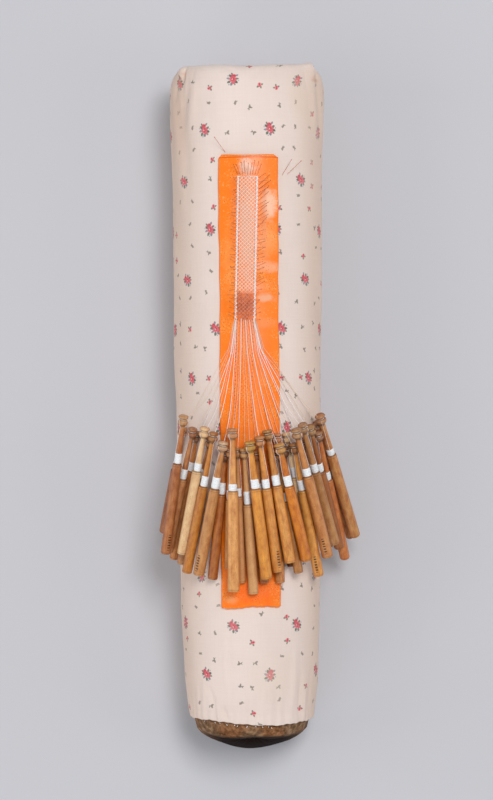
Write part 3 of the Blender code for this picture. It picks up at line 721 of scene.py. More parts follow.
# %% The bag's end
plain_core = frame["nodes"]["pillow_core"]
core_axis = float(axis_height(HEM_Y))
RIM_RADIUS = 0.0435
rim_y = plain_core.ray_cast(Vector((0, -1, core_axis + RIM_RADIUS)), Vector((0, 1, 0)))[1].y
CORE_Y = np.append(np.arange(rim_y, HEM_Y + 0.008, 0.0009), HEM_Y + 0.012)
FOOT_REACH, FOOT_TOP, FOOT_CURVE, FOOT_HALF_WIDTH = 0.0225, 0.094, 1.6, 0.080
NOSE_REACH, NOSE_HALF_WIDTH, NOSE_START = 0.011, 0.056, -0.268


def core_radius(y):
    return plain_core.ray_cast(Vector((0, y, 1)), Vector((0, 0, -1)))[1].z - core_axis


# the face of the end: shares of the rim's radius, and how far each lies in front of the rim
core_sections = [(rim_y - share_in * MM, share * RIM_RADIUS, core_axis)
                 for share, share_in in ((0.05, 1.6), (0.35, 1.6), (0.62, 1.5), (0.82, 1.2), (0.93, 0.8))]
CORE_RADIUS = np.array([core_radius(y) for y in CORE_Y])
core_sections += [(float(y), float(radius), core_axis) for y, radius in zip(CORE_Y, CORE_RADIUS)]
core = draw_out("leather_cloth_bag", core_sections, 144)
# The open ring under the cover is drawn to one point with the middle of the face, which closes the bag but
# leaves a small funnel there.  It is out of sight from above.
close_pole(core, lambda place: math.hypot(place.x, place.z - core_axis) < 0.003 or place.y > HEM_Y + 0.0119)
apply_modifier(core, "SUBSURF", levels=1, render_levels=1)

# %% Gathers, dents and the sunken foot
x, y, z = points_of(core).T
turn = np.arctan2(x, z - core_axis)
radius = np.hypot(x, z - core_axis)
on_face = np.clip((0.0448 - radius) / 0.005, 0, 1)
bare = np.clip((HEM_Y + 0.001 - y) / 0.004, 0, 1)
gathers = np.sin(turn * 19 + 1.4 * np.sin(turn * 3)) + 0.7 * np.sin(turn * 31 + 2 * np.sin(turn * 2 + 1))
dents = np.sin(turn * 7 + 0.8) * np.sin(1000 * y / 4.2 + 2 * turn)
radius = radius + MM * bare * (0.30 * gathers + 0.25 * dents) * np.clip(radius / 0.03, 0, 1)
y = y + MM * bare * (0.45 * np.sin(turn * 5 + 1) + 0.15 * on_face * gathers)
x = radius * np.sin(turn)
z = soft_floor(core_axis + radius * np.cos(turn), 0.3 * MM, 0.003)
low = np.clip(1 - z / FOOT_TOP, 0, 1) ** FOOT_CURVE
sunk = np.clip((HEM_Y + 0.0005 - y) / 0.006, 0, 1)
share = np.clip((y - NOSE_START) / (rim_y - NOSE_START), 0, 1.1)
y = y - FOOT_REACH * low * (1 - (x / FOOT_HALF_WIDTH) ** 2) * sunk + NOSE_REACH * share * (x / NOSE_HALF_WIDTH) ** 4
move_points(core, np.stack((x, y, z), axis=1))
# painted shade: the end's face and the low foot lie in the shade of the rim, and this share darkens them to
# near-black brown, most in the middle
painted_end_shade = core.data.attributes.new("painted_end_shade", "FLOAT", "POINT")
in_middle = np.clip((0.046 - np.abs(x - 0.0015)) / 0.018, 0, 1)
painted_end_shade.data.foreach_set("value", np.clip(on_face + 0.9 * np.clip((0.044 - z) / 0.022, 0, 1), 0, 1) ** 0.8
                       * (0.35 + 0.65 * in_middle))
select_only(core)
bpy.ops.object.shade_smooth()
print("bag box in mm:", np.round(1000 * np.stack((points_of(core).min(0), points_of(core).max(0))), 1).tolist())

# %% [markdown]
# Leather cloth is cotton with a pigment coat.  Years of handling rub it pale on the high places and leave
# dirt in the puckers, so the colour is mottled at the size of a fingertip, with fine scratches over it.  The
# end's face and the foot, in the shade of the rim, are darkened with painted shade to a near-black brown.

# %% Worn brown leather cloth
leather_cloth, tree, shader = new_material("leather_cloth_brown_worn", Roughness=0.70, Specular_IOR_Level=0.05)
place = add_node(tree, "TexCoord")
bag_mm = add_node(tree, "Mapping", {"Vector": place.outputs["Object"], "Scale": (1000, 1000, 1000)})
mottle = add_node(tree, "TexNoise", {"Vector": bag_mm.outputs[0], "Scale": 0.20, "Detail": 5.0,
                                               "Roughness": 0.66})
tans = add_node(tree, "ValToRGB", {"Fac": mottle.outputs["Fac"]})
tans.color_ramp.elements[0].position, tans.color_ramp.elements[0].color = 0.34, linear("#503B2B")
tans.color_ramp.elements[1].position, tans.color_ramp.elements[1].color = 0.66, linear("#A4866A")
tans.color_ramp.elements.new(0.50).color = linear("#7C5F46")
wiped = add_node(tree, "TexNoise", {"Vector": bag_mm.outputs[0], "Scale": 0.05, "Detail": 2.0})
redder = add_node(tree, "MapRange", {"Value": wiped.outputs["Fac"], "From Min": 0.48, "From Max": 0.62})
warm_tans = add_node(tree, "Mix", {"Factor": redder.outputs["Result"],
                            "A": tans.outputs["Color"], "B": linear("#FFE2CC")},
                     data_type="RGBA", blend_type="MULTIPLY")
# painted shade on the end's face and foot, from the share set on the bag's points
darkness = add_node(tree, "Attribute", attribute_name="painted_end_shade")
with_painted_shade = add_node(tree, "Mix", {"Factor": darkness.outputs["Fac"],
                            "A": warm_tans.outputs["Result"], "B": linear("#1C0F09")}, data_type="RGBA")
grain = add_node(tree, "TexVoronoi", {"Vector": bag_mm.outputs[0], "Scale": 0.9})
grain_height = add_node(tree, "Math", {0: mottle.outputs["Fac"], 1: 3.0, 2: grain.outputs["Distance"]},
                        operation="MULTIPLY_ADD")
grain_bump = add_node(tree, "Bump", {"Height": grain_height.outputs[0], "Strength": 0.5,
                                               "Distance": 0.0004})
tree.links.new(with_painted_shade.outputs["Result"], shader.inputs["Base Color"])
tree.links.new(grain_bump.outputs["Normal"], shader.inputs["Normal"])
finish_piece(core, leather_cloth, "sacking", "pillow_core")
# %% [markdown]
# ## The pattern card
#
# The card is a strip of glazed orange card, pricked with the pattern and bent round the roll under its pins.
# A flat grid is cut to size, its corners are snipped, it is laid on the roll, and then it gets thickness.
# Handling has left low ripples across it, which catch the light, and its lower edge is torn.

# %% The card, flat
CARD_LOW, CARD_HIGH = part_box("pricking_card")
CARD_HALF, CARD_THICK, CARD_LIFT = 0.024, 0.9 * MM, 0.35 * MM
card_middle = 0.5 * (CARD_LOW.y + CARD_HIGH.y)
select_only()
bpy.ops.mesh.primitive_grid_add(x_subdivisions=40, y_subdivisions=312, size=1, location=(0, card_middle, 0))
card = bpy.context.object
card.name = "pricked_card"
bpy.ops.transform.resize(value=(2 * CARD_HALF, CARD_HIGH.y - CARD_LOW.y, 1), center_override=(0, card_middle, 0))
settle(card)

# %% Corners, edges and ripples
# Ripples: place along the card in mm, how long and how high they are in mm, and the side they are on.
RIPPLES = ((192, 12, 0.55, 0.0), (126, 8, 0.35, 0.8), (109, 7, 0.75, 0.9), (90, 6, 0.65, 0.9), (70, 9, 0.4, -0.8),
           (40, 12, 0.3, 0.4), (-8, 10, 0.3, -0.3), (-130, 8, 0.5, 0.3), (-150, 7, 0.5, -0.2), (-162, 4, 0.5, 0.5),
           (150, 10, 0.35, -0.7), (14, 7, 0.3, 0.8))


def shape_card(across, along):
    """Flat card in mm to its true outline and its lift over the roll."""
    low, high = 1000 * CARD_LOW.y, 1000 * CARD_HIGH.y
    to_end = np.minimum(along - low, high - along)
    side = across / (1000 * CARD_HALF)
    # the upper corners are snipped off, the right one more, and the lower ones are worn round
    snip = np.where(side < 0, np.maximum(2.6 - (high - along), 0), np.maximum(3.8 - 1.6 * (high - along), 0))
    narrower = snip + np.maximum(0.9 - (along - low), 0)
    new_across = across - narrower * side ** 7 + 0.25 * np.sin(along / 23 + 1) * side ** 3 \
        + 0.16 * np.sin(along / 6.1) * np.abs(side) ** 5
    torn = 0.22 * np.sin(across / 2.1 + 1.3) + 0.20 * np.sin(across / 0.93) + 0.3 * np.sin(across / 6.4 + 0.6) \
        - 1.1 * np.clip(-side - 0.15, 0, 0.35) / 0.35
    new_along = along + torn * np.clip(1 - (along - low) / 5, 0, 1) \
        - 0.35 * np.cos(across / 7.5) * np.clip(1 - (high - along) / 8, 0, 1)
    lift = np.zeros_like(across)
    for middle, length, height, where in RIPPLES:
        share = np.clip(1 - np.abs(side - where) / 1.5, 0, 1)
        lean = along - middle - 3.0 * side
        lift += height * share * np.exp(-(lean / length) ** 2)
    lift += 0.5 * np.abs(side) ** 6 * (0.5 + 0.5 * np.sin(along / 37 + 2)) + 0.08 * np.sin(along / 9) * side
    curl = 0.8 * np.clip(1 - to_end / 9, 0, 1) ** 2 * (0.35 + 0.65 * np.abs(side) ** 2)
    return new_across, new_along, lift + curl


flat = points_of(card)
card_across, card_along, card_rise = shape_card(1000 * flat[:, 0], 1000 * flat[:, 1])


def card_lift(x, y):
    """Height of the card's face over the cover, in metres, for places in metres."""
    rise = shape_card(1000 * np.asarray(x, dtype=float), 1000 * np.asarray(y, dtype=float))[2]
    return CARD_LIFT + MM * rise + CARD_THICK


card_uv = card.data.uv_layers.get("UVMap") or card.data.uv_layers.new(name="UVMap")
loop_point = np.empty(len(card.data.loops), dtype=int)
card.data.loops.foreach_get("vertex_index", loop_point)
card_uv.data.foreach_set("uv", (MM * np.stack((card_across, card_along), axis=1))[loop_point].ravel())
places_y = MM * card_along
card_turn = turn_at(MM * card_across, places_y)
laid = on_roll(places_y, card_turn)
outwards_card = np.stack((np.sin(card_turn), 0 * card_turn, np.cos(card_turn)), axis=1)
move_points(card, laid + outwards_card * (CARD_LIFT + MM * card_rise)[:, None])
select_only(card)
bpy.ops.object.shade_smooth()
apply_modifier(card, "SOLIDIFY", thickness=CARD_THICK, offset=1.0)
print("card points:", len(card.data.vertices))

# %% Where the lace lies on the card
# The strip's own coordinates: across, and down from the finished end, in mm.
LACE_START, LACE_FRONT = np.array((-0.0004, 0.1870)), np.array((-0.0035, 0.0686))
LACE_LENGTH = 1000 * float(np.hypot(*(LACE_FRONT - LACE_START)))
LACE_WAY = (LACE_FRONT - LACE_START) / np.hypot(*(LACE_FRONT - LACE_START))
LACE_SIDE = np.array((-LACE_WAY[1], LACE_WAY[0]))     # towards +X
# The net: half its width, the number of its pairs, and the distance between its rows.
NET_HALF, PAIRS = 6.35, 8
PITCH = 4 * NET_HALF / PAIRS

# %% [markdown]
# The card is coloured board with a glazed, slightly sticky coat.  It shows rubbed and pricked places: pale
# scuffs where a hand or the lace has dulled the coat, darker lines of old pinholes, and fine scratches that
# break up the gloss.  Painted light lies over them: highlights where the ripples catch the light, shade by the
# pins and in the holes, and light thrown on the card by the white lace.

# %% Glazed orange card
glazed_card, tree, shader = new_material("card_orange_glazed_rubbed", Coat_Weight=0.12, Coat_Roughness=0.20,
                                         Specular_IOR_Level=0.30)
card_place = add_node(tree, "UVMap", uv_map="UVMap")
card_mm = add_node(tree, "Mapping", {"Vector": card_place.outputs["UV"], "Scale": (1000, 1000, 1000)})
blotch = add_node(tree, "TexNoise", {"Vector": card_mm.outputs[0], "Scale": 0.055, "Detail": 4.0,
                                               "Roughness": 0.6}, noise_dimensions="2D")
orange = add_node(tree, "Mix", {"Factor": blotch.outputs["Fac"], "A": linear("#FF750A"), "B": linear("#FF8B1E")},
                  data_type="RGBA")
fine = add_node(tree, "TexNoise", {"Vector": card_mm.outputs[0], "Scale": 0.9, "Detail": 6.0,
                                             "Roughness": 0.7}, noise_dimensions="2D")
# pale flecks, where the glaze has chipped, lie thickest in the places that are handled most
fleck_size = add_node(tree, "TexNoise", {"Vector": card_mm.outputs[0], "Scale": 0.62, "Detail": 3.0,
                                                   "Roughness": 0.75}, noise_dimensions="2D")
handled = add_node(tree, "MapRange", {"Value": blotch.outputs["Fac"], "From Min": 0.40, "From Max": 0.62,
                                                "To Min": 0.0, "To Max": 0.13})
chip = add_node(tree, "Math", {0: fleck_size.outputs["Fac"], 1: handled.outputs["Result"]}, operation="ADD")
chipped = add_node(tree, "MapRange", {"Value": chip.outputs[0], "From Min": 0.64, "From Max": 0.74,
                                                "To Min": 0.0, "To Max": 0.42})
flecked = add_node(tree, "Mix", {"Factor": chipped.outputs["Result"],
                          "A": orange.outputs["Result"], "B": linear("#FFC07C")}, data_type="RGBA")
card_colour = flecked.outputs["Result"]

# %% Card: rubbed places, with painted highlights and painted shade
ragged = add_node(tree, "TexNoise", {"Vector": card_mm.outputs[0], "Scale": 0.17, "Detail": 4.0,
                                               "Roughness": 0.65}, noise_dimensions="2D")
unevenly = add_node(tree, "Math", {0: fine.outputs["Fac"], 1: 0.5, 2: ragged.outputs["Fac"]},
                    operation="MULTIPLY_ADD")
dulled = None
# the middle in mm, half width and half height in mm, strength, colour.  The palest spots, at the top and on
# the right over the ripples, are rubbed coat with a painted highlight; the dark red-brown spot at the working
# edge is painted shade of the close pins; the darker strip left of the lace is the pins' painted shadow; the
# peach strip under the lace is bleached card with painted light thrown up by the white threads.
for at, wide, high, strength, pale in (
        ((17.0, 164.0), 7.5, 15.0, 0.92, "#FBC9A9"), ((-1.0, 195.0), 8.0, 8.5, 0.92, "#FBD6C2"),
        ((17.0, 112.0), 12.0, 5.0, 0.75, "#FBAE84"), ((13.6, 87.0), 9.0, 4.5, 0.80, "#F4B48E"),
        ((-15.0, 118.0), 8.0, 34.0, 0.32, "#FFAE62"), ((17.0, 135.0), 8.0, 16.0, 0.42, "#FFB26E"),
        ((11.0, 66.0), 12.0, 6.0, 0.35, "#F79C6A"), ((-15.5, -163.0), 6.5, 4.0, 0.70, "#FFAE70"),
        ((2.0, -156.0), 26.0, 16.0, 0.60, "#FF6416"),
        ((-12.0, 160.0), 3.6, 34.0, 0.35, "#F0804A"), ((12.5, 150.0), 3.2, 42.0, 0.45, "#E49068"),
        ((-3.0, 79.5), 9.0, 12.0, 0.80, "#B4583C"), ((-1.3, 144.0), 8.5, 62.0, 0.94, "#E8AC8E")):
    spot = add_node(tree, "Mapping", {"Vector": card_mm.outputs[0], "Location": (*at, 0),
                                                "Scale": (wide, high, 1)}, vector_type="TEXTURE")
    from_spot = add_node(tree, "VectorMath", {0: spot.outputs[0]}, operation="LENGTH")
    broken = add_node(tree, "Math", {0: unevenly.outputs[0], 1: 1.2, 2: from_spot.outputs["Value"]},
                      operation="MULTIPLY_ADD")
    spot_share = add_node(tree, "MapRange", {"Value": broken.outputs[0], "From Min": 1.15, "From Max": 2.05,
                                                 "To Min": strength, "To Max": 0.0}, interpolation_type="SMOOTHSTEP")
    spotted_card = add_node(tree, "Mix", {"Factor": spot_share.outputs["Result"], "A": card_colour, "B": linear(pale)},
                      data_type="RGBA")
    card_colour = spotted_card.outputs["Result"]
    if dulled is None:
        dulled = spot_share.outputs["Result"]
    else:
        dulled = add_node(tree, "Math", {0: dulled, 1: spot_share.outputs["Result"]},
                          operation="MAXIMUM").outputs[0]

# %% Card: old pinholes, dark with painted shade
holes = add_node(tree, "TexVoronoi", {"Vector": card_mm.outputs[0], "Scale": 1 / 2.6, "Randomness": 0.75},
                 voronoi_dimensions="2D")
hole = add_node(tree, "MapRange", {"Value": holes.outputs["Distance"], "From Min": 0.07, "From Max": 0.13,
                                             "To Min": 1.0, "To Max": 0.0})
old_pricks = add_node(tree, "MapRange", {"Value": blotch.outputs["Fac"], "From Min": 0.50, "From Max": 0.58})
hole_here = add_node(tree, "Math", {0: hole.outputs["Result"], 1: old_pricks.outputs["Result"]},
                     operation="MULTIPLY")
# painted shade: the holes are only dents in the relief, so their dark colour stands for the shade inside them
pricked = add_node(tree, "Mix", {"Factor": hole_here.outputs[0], "A": card_colour, "B": linear("#B84A1C")},
                   data_type="RGBA")

# %% Card: the pricked pattern
# Holes for the ground stand on a slanting lattice, and a close row runs along each border.  Their dark colour is
# painted shade in the holes.
from_start = add_node(tree, "VectorMath", {0: card_mm.outputs[0], 1: (*(1000 * LACE_START), 0)},
                      operation="SUBTRACT")
down_strip = add_node(tree, "VectorMath", {0: from_start.outputs[0], 1: (*LACE_WAY, 0)},
                      operation="DOT_PRODUCT").outputs["Value"]
across_strip = add_node(tree, "VectorMath", {0: from_start.outputs[0], 1: (*LACE_SIDE, 0)},
                        operation="DOT_PRODUCT").outputs["Value"]
slants = []
for operation in ("ADD", "SUBTRACT"):
    slant = add_node(tree, "Math", {0: down_strip, 1: across_strip}, operation=operation)
    to_slant = add_node(tree, "Math", {0: slant.outputs[0], 1: PITCH / 2}, operation="PINGPONG")
    slants.append(to_slant.outputs[0])
to_hole = add_node(tree, "CombineXYZ", {"X": slants[0], "Y": slants[1]})
ground_hole = add_node(tree, "VectorMath", {0: to_hole.outputs[0]}, operation="LENGTH")
ground_dot = add_node(tree, "MapRange", {"Value": ground_hole.outputs["Value"], "From Min": 0.55,
                                                   "From Max": 1.00, "To Min": 0.42, "To Max": 0.0})
in_ground = add_node(tree, "Math", {0: across_strip, 1: 0.0, 2: NET_HALF - 0.2}, operation="COMPARE")
ground_dots = add_node(tree, "Math", {0: ground_dot.outputs["Result"], 1: in_ground.outputs[0]},
                       operation="MULTIPLY")
from_middle = add_node(tree, "Math", {0: across_strip}, operation="ABSOLUTE")
to_row = add_node(tree, "Math", {0: from_middle.outputs[0], 1: NET_HALF + 0.45}, operation="SUBTRACT")
along_row = add_node(tree, "Math", {0: down_strip, 1: PITCH / 2}, operation="PINGPONG")
to_row_hole = add_node(tree, "CombineXYZ", {"X": to_row.outputs[0], "Y": along_row.outputs[0]})
row_hole = add_node(tree, "VectorMath", {0: to_row_hole.outputs[0]}, operation="LENGTH")
row_dot = add_node(tree, "MapRange", {"Value": row_hole.outputs["Value"], "From Min": 0.50,
                                                "From Max": 0.85, "To Min": 0.90, "To Max": 0.0})
pattern_dot = add_node(tree, "Math", {0: ground_dots.outputs[0], 1: row_dot.outputs["Result"]},
                       operation="MAXIMUM")
pattern_part = add_node(tree, "MapRange", {"Value": down_strip, "From Min": 118.0, "From Max": 122.0,
                                                     "To Min": 1.0, "To Max": 0.55})
on_pattern = add_node(tree, "Math", {0: down_strip, 1: 100.0, 2: 101.0}, operation="COMPARE")
pattern_ink = add_node(tree, "Math", {0: pattern_dot.outputs[0], 1: pattern_part.outputs["Result"]},
                       operation="MULTIPLY")
pattern_here = add_node(tree, "Math", {0: pattern_ink.outputs[0], 1: on_pattern.outputs[0]},
                        operation="MULTIPLY")
patterned = add_node(tree, "Mix", {"Factor": pattern_here.outputs[0],
                            "A": pricked.outputs["Result"], "B": linear("#A24A20")}, data_type="RGBA")

# %% Card: painted shade of a bend under its upper edge, gloss and relief
card_parts = add_node(tree, "SeparateXYZ", {0: card_mm.outputs[0]})
# painted shade: a darker line 2 mm under the upper edge, where the card is bent down
to_line = add_node(tree, "Math", {0: card_parts.outputs["Y"], 1: 1000 * CARD_HIGH.y - 2.1, 2: 0.55},
                   operation="COMPARE")
line = add_node(tree, "Mix", {"Factor": to_line.outputs[0], "A": patterned.outputs["Result"], "B": linear("#E8640F")},
                data_type="RGBA")
tree.links.new(line.outputs["Result"], shader.inputs["Base Color"])
scratch_way = add_node(tree, "Mapping", {"Vector": card_mm.outputs[0], "Rotation": (0, 0, 0.5),
                                                   "Scale": (2.2, 0.09, 1)})
scratches = add_node(tree, "TexNoise", {"Vector": scratch_way.outputs[0], "Scale": 1.0, "Detail": 3.0},
                     noise_dimensions="2D")
gloss = add_node(tree, "MapRange", {"Value": scratches.outputs["Fac"], "From Min": 0.35, "From Max": 0.75,
                                              "To Min": 0.30, "To Max": 0.46})
rough = add_node(tree, "Math", {0: dulled, 1: 0.22, 2: gloss.outputs["Result"]}, operation="MULTIPLY_ADD")
tree.links.new(rough.outputs[0], shader.inputs["Roughness"])
card_height = add_node(tree, "Math", {0: hole_here.outputs[0], 1: -1.5, 2: fine.outputs["Fac"]},
                       operation="MULTIPLY_ADD")
card_bump = add_node(tree, "Bump", {"Height": card_height.outputs[0], "Strength": 0.22,
                                              "Distance": 0.0003})
tree.links.new(card_bump.outputs["Normal"], shader.inputs["Normal"])
finish_piece(card, glazed_card, "card", "pricking_card")
# %% [markdown]
# ## The lace
#
# The strip is worked in fine white cotton.  Its ground is a net: pairs of threads, twisted round each other,
# run from border to border on the slant and turn back there.  Each border is close cloth stitch: a few threads
# straight down, and a pair that goes over and under them from side to side, round a pin at each turn.
#
# Threads can't be drawn by hand one by one, so each is a path of points on the strip, laid on the card and
# given its thickness by a curve's bevel.

# %% Threads from paths
def make_threads(name, paths, thickness, sides=0):
    """One mesh of round threads; every path is a list of places in metres."""
    curve = bpy.data.curves.new(name, "CURVE")
    curve.dimensions = "3D"
    curve.bevel_depth = thickness / 2
    curve.bevel_resolution = sides
    curve.use_fill_caps = True
    for path in paths:
        path = np.asarray(path, dtype=float)
        spline = curve.splines.new("POLY")
        spline.points.add(len(path) - 1)
        spline.points.foreach_set("co", np.column_stack((path, np.ones(len(path)))).ravel())
    piece = bpy.data.objects.new(name, curve)
    bpy.context.scene.collection.objects.link(piece)
    select_only(piece)
    bpy.ops.object.convert(target="MESH")
    piece = bpy.context.object
    bpy.ops.object.shade_smooth()
    return piece


# %% From the strip's own coordinates to the model
def on_strip(across, down, up=0.0):
    """Place in the model of a point on the strip, all in mm."""
    across, down = np.broadcast_arrays(np.asarray(across, dtype=float), np.asarray(down, dtype=float))
    flat = LACE_START + MM * (down[:, None] * LACE_WAY + across[:, None] * LACE_SIDE)
    x, y = flat[:, 0], flat[:, 1]
    lift = card_lift(x, y) + MM * (0.35 + np.asarray(up))
    return on_roll(y, turn_at(x, y, lift), lift)


print("strip length in mm:", round(LACE_LENGTH, 1))

# %% The net ground
NET_THREAD, BORDER_THREAD = 0.62 * MM, 0.40 * MM
twisted = []
for pair in range(PAIRS):
    down = np.arange(0.0, LACE_LENGTH, 0.24)
    swing = (down + pair * PITCH) / (2 * NET_HALF)
    across = NET_HALF * (2 * np.abs(2 * (swing / 2 - np.floor(swing / 2 + 0.5))) - 1)
    slope = np.sign(np.gradient(across))
    cycle = math.tau * down / 1.6
    for side in (0, math.pi):
        swell = 0.25 * np.cos(cycle + side)
        height = 0.20 * np.sin(cycle + side) + 0.20 * slope * np.cos(math.tau * down / PITCH)
        twisted.append(on_strip(across + 0.707 * swell, down + 0.707 * swell * slope, height))
net = make_threads("net_ground", twisted, NET_THREAD, 1)
# the last rows, among the close pins, are still loose and lie in their shade
net_down = 1000 * (points_of(net)[:, :2] - LACE_START) @ LACE_WAY
shade_share = np.clip((net_down - LACE_LENGTH + 25.0) / 4.0, 0, 1)[:, None]
shaded = net.data.attributes.new("shaded", "FLOAT_COLOR", "POINT")
shaded.data.foreach_set("color", ((1 - shade_share) * np.ones(4) + shade_share * linear("#E8AE98")).ravel())
print("net triangles:", count_triangles(net))

# %% The cloth-stitch borders
borders = []
for side in (-1, 1):
    down = np.arange(0.0, LACE_LENGTH, 0.5)
    for number, passive in enumerate((7.55, 8.05)):
        sway = 0.30 * np.sin(down * math.tau / PITCH + 0.6 * number)
        borders.append(on_strip(side * (passive + sway), down, 0.10 * np.cos(math.pi * (down / 0.75 + number))))
    for strand in (0.0, 0.34):
        turns = np.arange(0.0, 2 * LACE_LENGTH / PITCH, 0.0625)
        reach = 1 - 2 * np.abs(2 * (turns / 2 - np.floor(turns / 2 + 0.5)))
        across = side * (7.70 - 0.95 * reach)
        height = 0.30 + 0.22 * np.sin(math.tau * turns * 2 + strand)
        borders.append(on_strip(across, PITCH / 2 * turns + strand, height))
# the first row, where the threads were hung on
row = np.linspace(-8.2, 8.2, 60)
borders.append(on_strip(row, 0.25 * np.sin(row * math.tau / 1.6), 0.15 * np.cos(row * math.tau / 0.8)))
border = make_threads("cloth_stitch_borders", borders, BORDER_THREAD)
print("border triangles:", count_triangles(border))

# %% [markdown]
# Cotton lace thread is two plies twisted together and mercerised, so it is white with a faint shine.  The
# twist, about 0.7 mm long, is drawn as slanting bands, which only a close view shows.

# %% White cotton thread
def cotton_thread(name, dull, bright):
    material, tree, shader = new_material(name, Roughness=0.72, Sheen_Weight=0.15, Sheen_Roughness=0.4)
    place = add_node(tree, "TexCoord")
    thread_mm = add_node(tree, "Mapping", {"Vector": place.outputs["Object"], "Rotation": (0.4, 0.3, 0.7),
                                                     "Scale": (1000, 1000, 1000)})
    ply = add_node(tree, "TexWave", {"Vector": thread_mm.outputs[0], "Scale": 0.45, "Distortion": 1.5,
                                               "Detail": 1.0})
    fuzz = add_node(tree, "TexNoise", {"Vector": thread_mm.outputs[0], "Scale": 0.12, "Detail": 3.0})
    tone = add_node(tree, "Mix", {"Factor": fuzz.outputs["Fac"], "A": linear(dull), "B": linear(bright)},
                    data_type="RGBA")
    ply_bump = add_node(tree, "Bump", {"Height": ply.outputs["Fac"], "Strength": 0.4, "Distance": 0.0001})
    tree.links.new(tone.outputs["Result"], shader.inputs["Base Color"])
    tree.links.new(ply_bump.outputs["Normal"], shader.inputs["Normal"])
    return material, tree, shader, tone


white_thread, _, _, _ = cotton_thread("cotton_thread_white_twisted", "#F6F0ED", "#FFFCFB")
# Fine thread lets light through, so the net takes on some of the colour of the card under it.  That light is painted:
# the thread's own colour is given as peach.
net_thread, tree, shader, tone = cotton_thread("cotton_thread_fine_translucent", "#FAD2BA", "#FFE2CE")
shaded_place = add_node(tree, "Attribute", attribute_name="shaded")
net_tone = add_node(tree, "Mix", {"Factor": 1.0, "A": tone.outputs["Result"], "B": shaded_place.outputs["Color"]},
                    data_type="RGBA", blend_type="MULTIPLY")
tree.links.new(net_tone.outputs["Result"], shader.inputs["Base Color"])
finish_piece(net, net_thread, "thread", "lace_strip")
finish_piece(border, white_thread, "thread")
# %% [markdown]
# ## The bobbins
#
# Thirty turned bobbins hang in a heap across the roll.  Each has a small grooved head that holds the hitch of
# its thread, a thin neck with the thread wound on it, and a stout body for weight.  No two are quite alike,
# so the place, length and thickness of each are measured from its plain solid.
#
# Turned work is drawn out ring by ring along its axis, like the roll, but with a finer profile, and is then
# carried to its place.  Its own coordinates are kept as an attribute, so that the wood's grain runs along it.

# %% Where each bobbin lies
BOBBIN_NAMES = sorted(name for name in frame["nodes"] if name.startswith("bobbin_"))


def measure_bobbin(name):
    """Head end, direction, cross directions, length, radius, winding and shoulder of a plain bobbin."""
    corners = np.unique(np.round(points_of(frame["nodes"][name]), 6), axis=0)
    middle = corners.mean(axis=0)
    way = np.linalg.svd(corners - middle)[2][0]
    way = way if way[1] < 0 else -way                  # heads lie further up the roll than tails
    along = (corners - middle) @ way
    order = np.argsort(along)
    rings = np.split(order, np.flatnonzero(np.diff(along[order]) > 0.15 * MM) + 1)
    rings = [ring for ring in rings if len(ring) >= 8]
    centres = np.array([corners[ring].mean(axis=0) for ring in rings])
    radii = np.array([np.linalg.norm(corners[ring] - centre, axis=1).max() for ring, centre in zip(rings, centres)])
    way = (centres[-1] - centres[0]) / np.linalg.norm(centres[-1] - centres[0])
    places = (centres - centres[0]) @ way
    side = np.cross(way, (0, 0, 1))
    side /= np.linalg.norm(side)
    return {"head": centres[0], "way": way, "side": side, "up": np.cross(side, way), "length": 1000 * places[-1],
            "radius": 1000 * radii.max(), "winding": 1000 * places[6], "shoulder": 1000 * places[9] - 0.4}


measured = {name: measure_bobbin(name) for name in BOBBIN_NAMES}
for name in BOBBIN_NAMES[:3]:
    print(name, {key: round(float(value), 1) for key, value in measured[name].items() if np.ndim(value) == 0})

# %% The turner's profile
# Distance in mm from the head, and the share of the body's radius.
HEAD = ((0.0, 0.10), (0.05, 0.56), (0.35, 0.78), (0.9, 0.92), (1.6, 0.98), (2.3, 0.93), (2.8, 0.80), (3.4, 0.66),
        (3.9, 0.66), (4.4, 0.80), (4.9, 0.93), (5.8, 0.99), (6.9, 0.95), (7.7, 0.84), (8.3, 0.66), (8.9, 0.53),
        (10.0, 0.49))


def turned_profile(size, number):
    """Rings of a bobbin: distance from its head in mm and radius in mm."""
    chance = random.Random(number)
    length, winding, shoulder = size["length"], size["winding"], size["shoulder"]
    stretch = chance.uniform(0.92, 1.06)
    rows = [(along * stretch, share + chance.uniform(-0.02, 0.02)) for along, share in HEAD]
    neck_start = rows[-1][0]
    for step in (0.25, 0.5, 0.75, 1.0):
        rows.append((neck_start + step * (winding - neck_start), 0.49 + 0.15 * step))
    rows += [(shoulder - 0.8, 0.64), (shoulder - 0.35, 0.67), (shoulder + 0.05, 0.82), (shoulder + 0.5, 0.905),
             (shoulder + 1.3, 0.93)]
    swell = chance.uniform(0.55, 0.9)
    for step in (0.12, 0.25, 0.4, 0.55, 0.7, 0.85):
        along = shoulder + 1.3 + step * (length - shoulder - 4.3)
        rows.append((along, 0.93 + 0.07 * math.sin(math.pi / 2 * min(step / swell, 1.0)) ** 1.2))
    rows += [(length - 3.0, 0.995), (length - 1.4, 0.985), (length - 0.6, 0.95), (length - 0.2, 0.88),
             (length - 0.04, 0.76), (length, 0.40), (length, 0.03)]
    return [(along, share * size["radius"]) for along, share in rows]


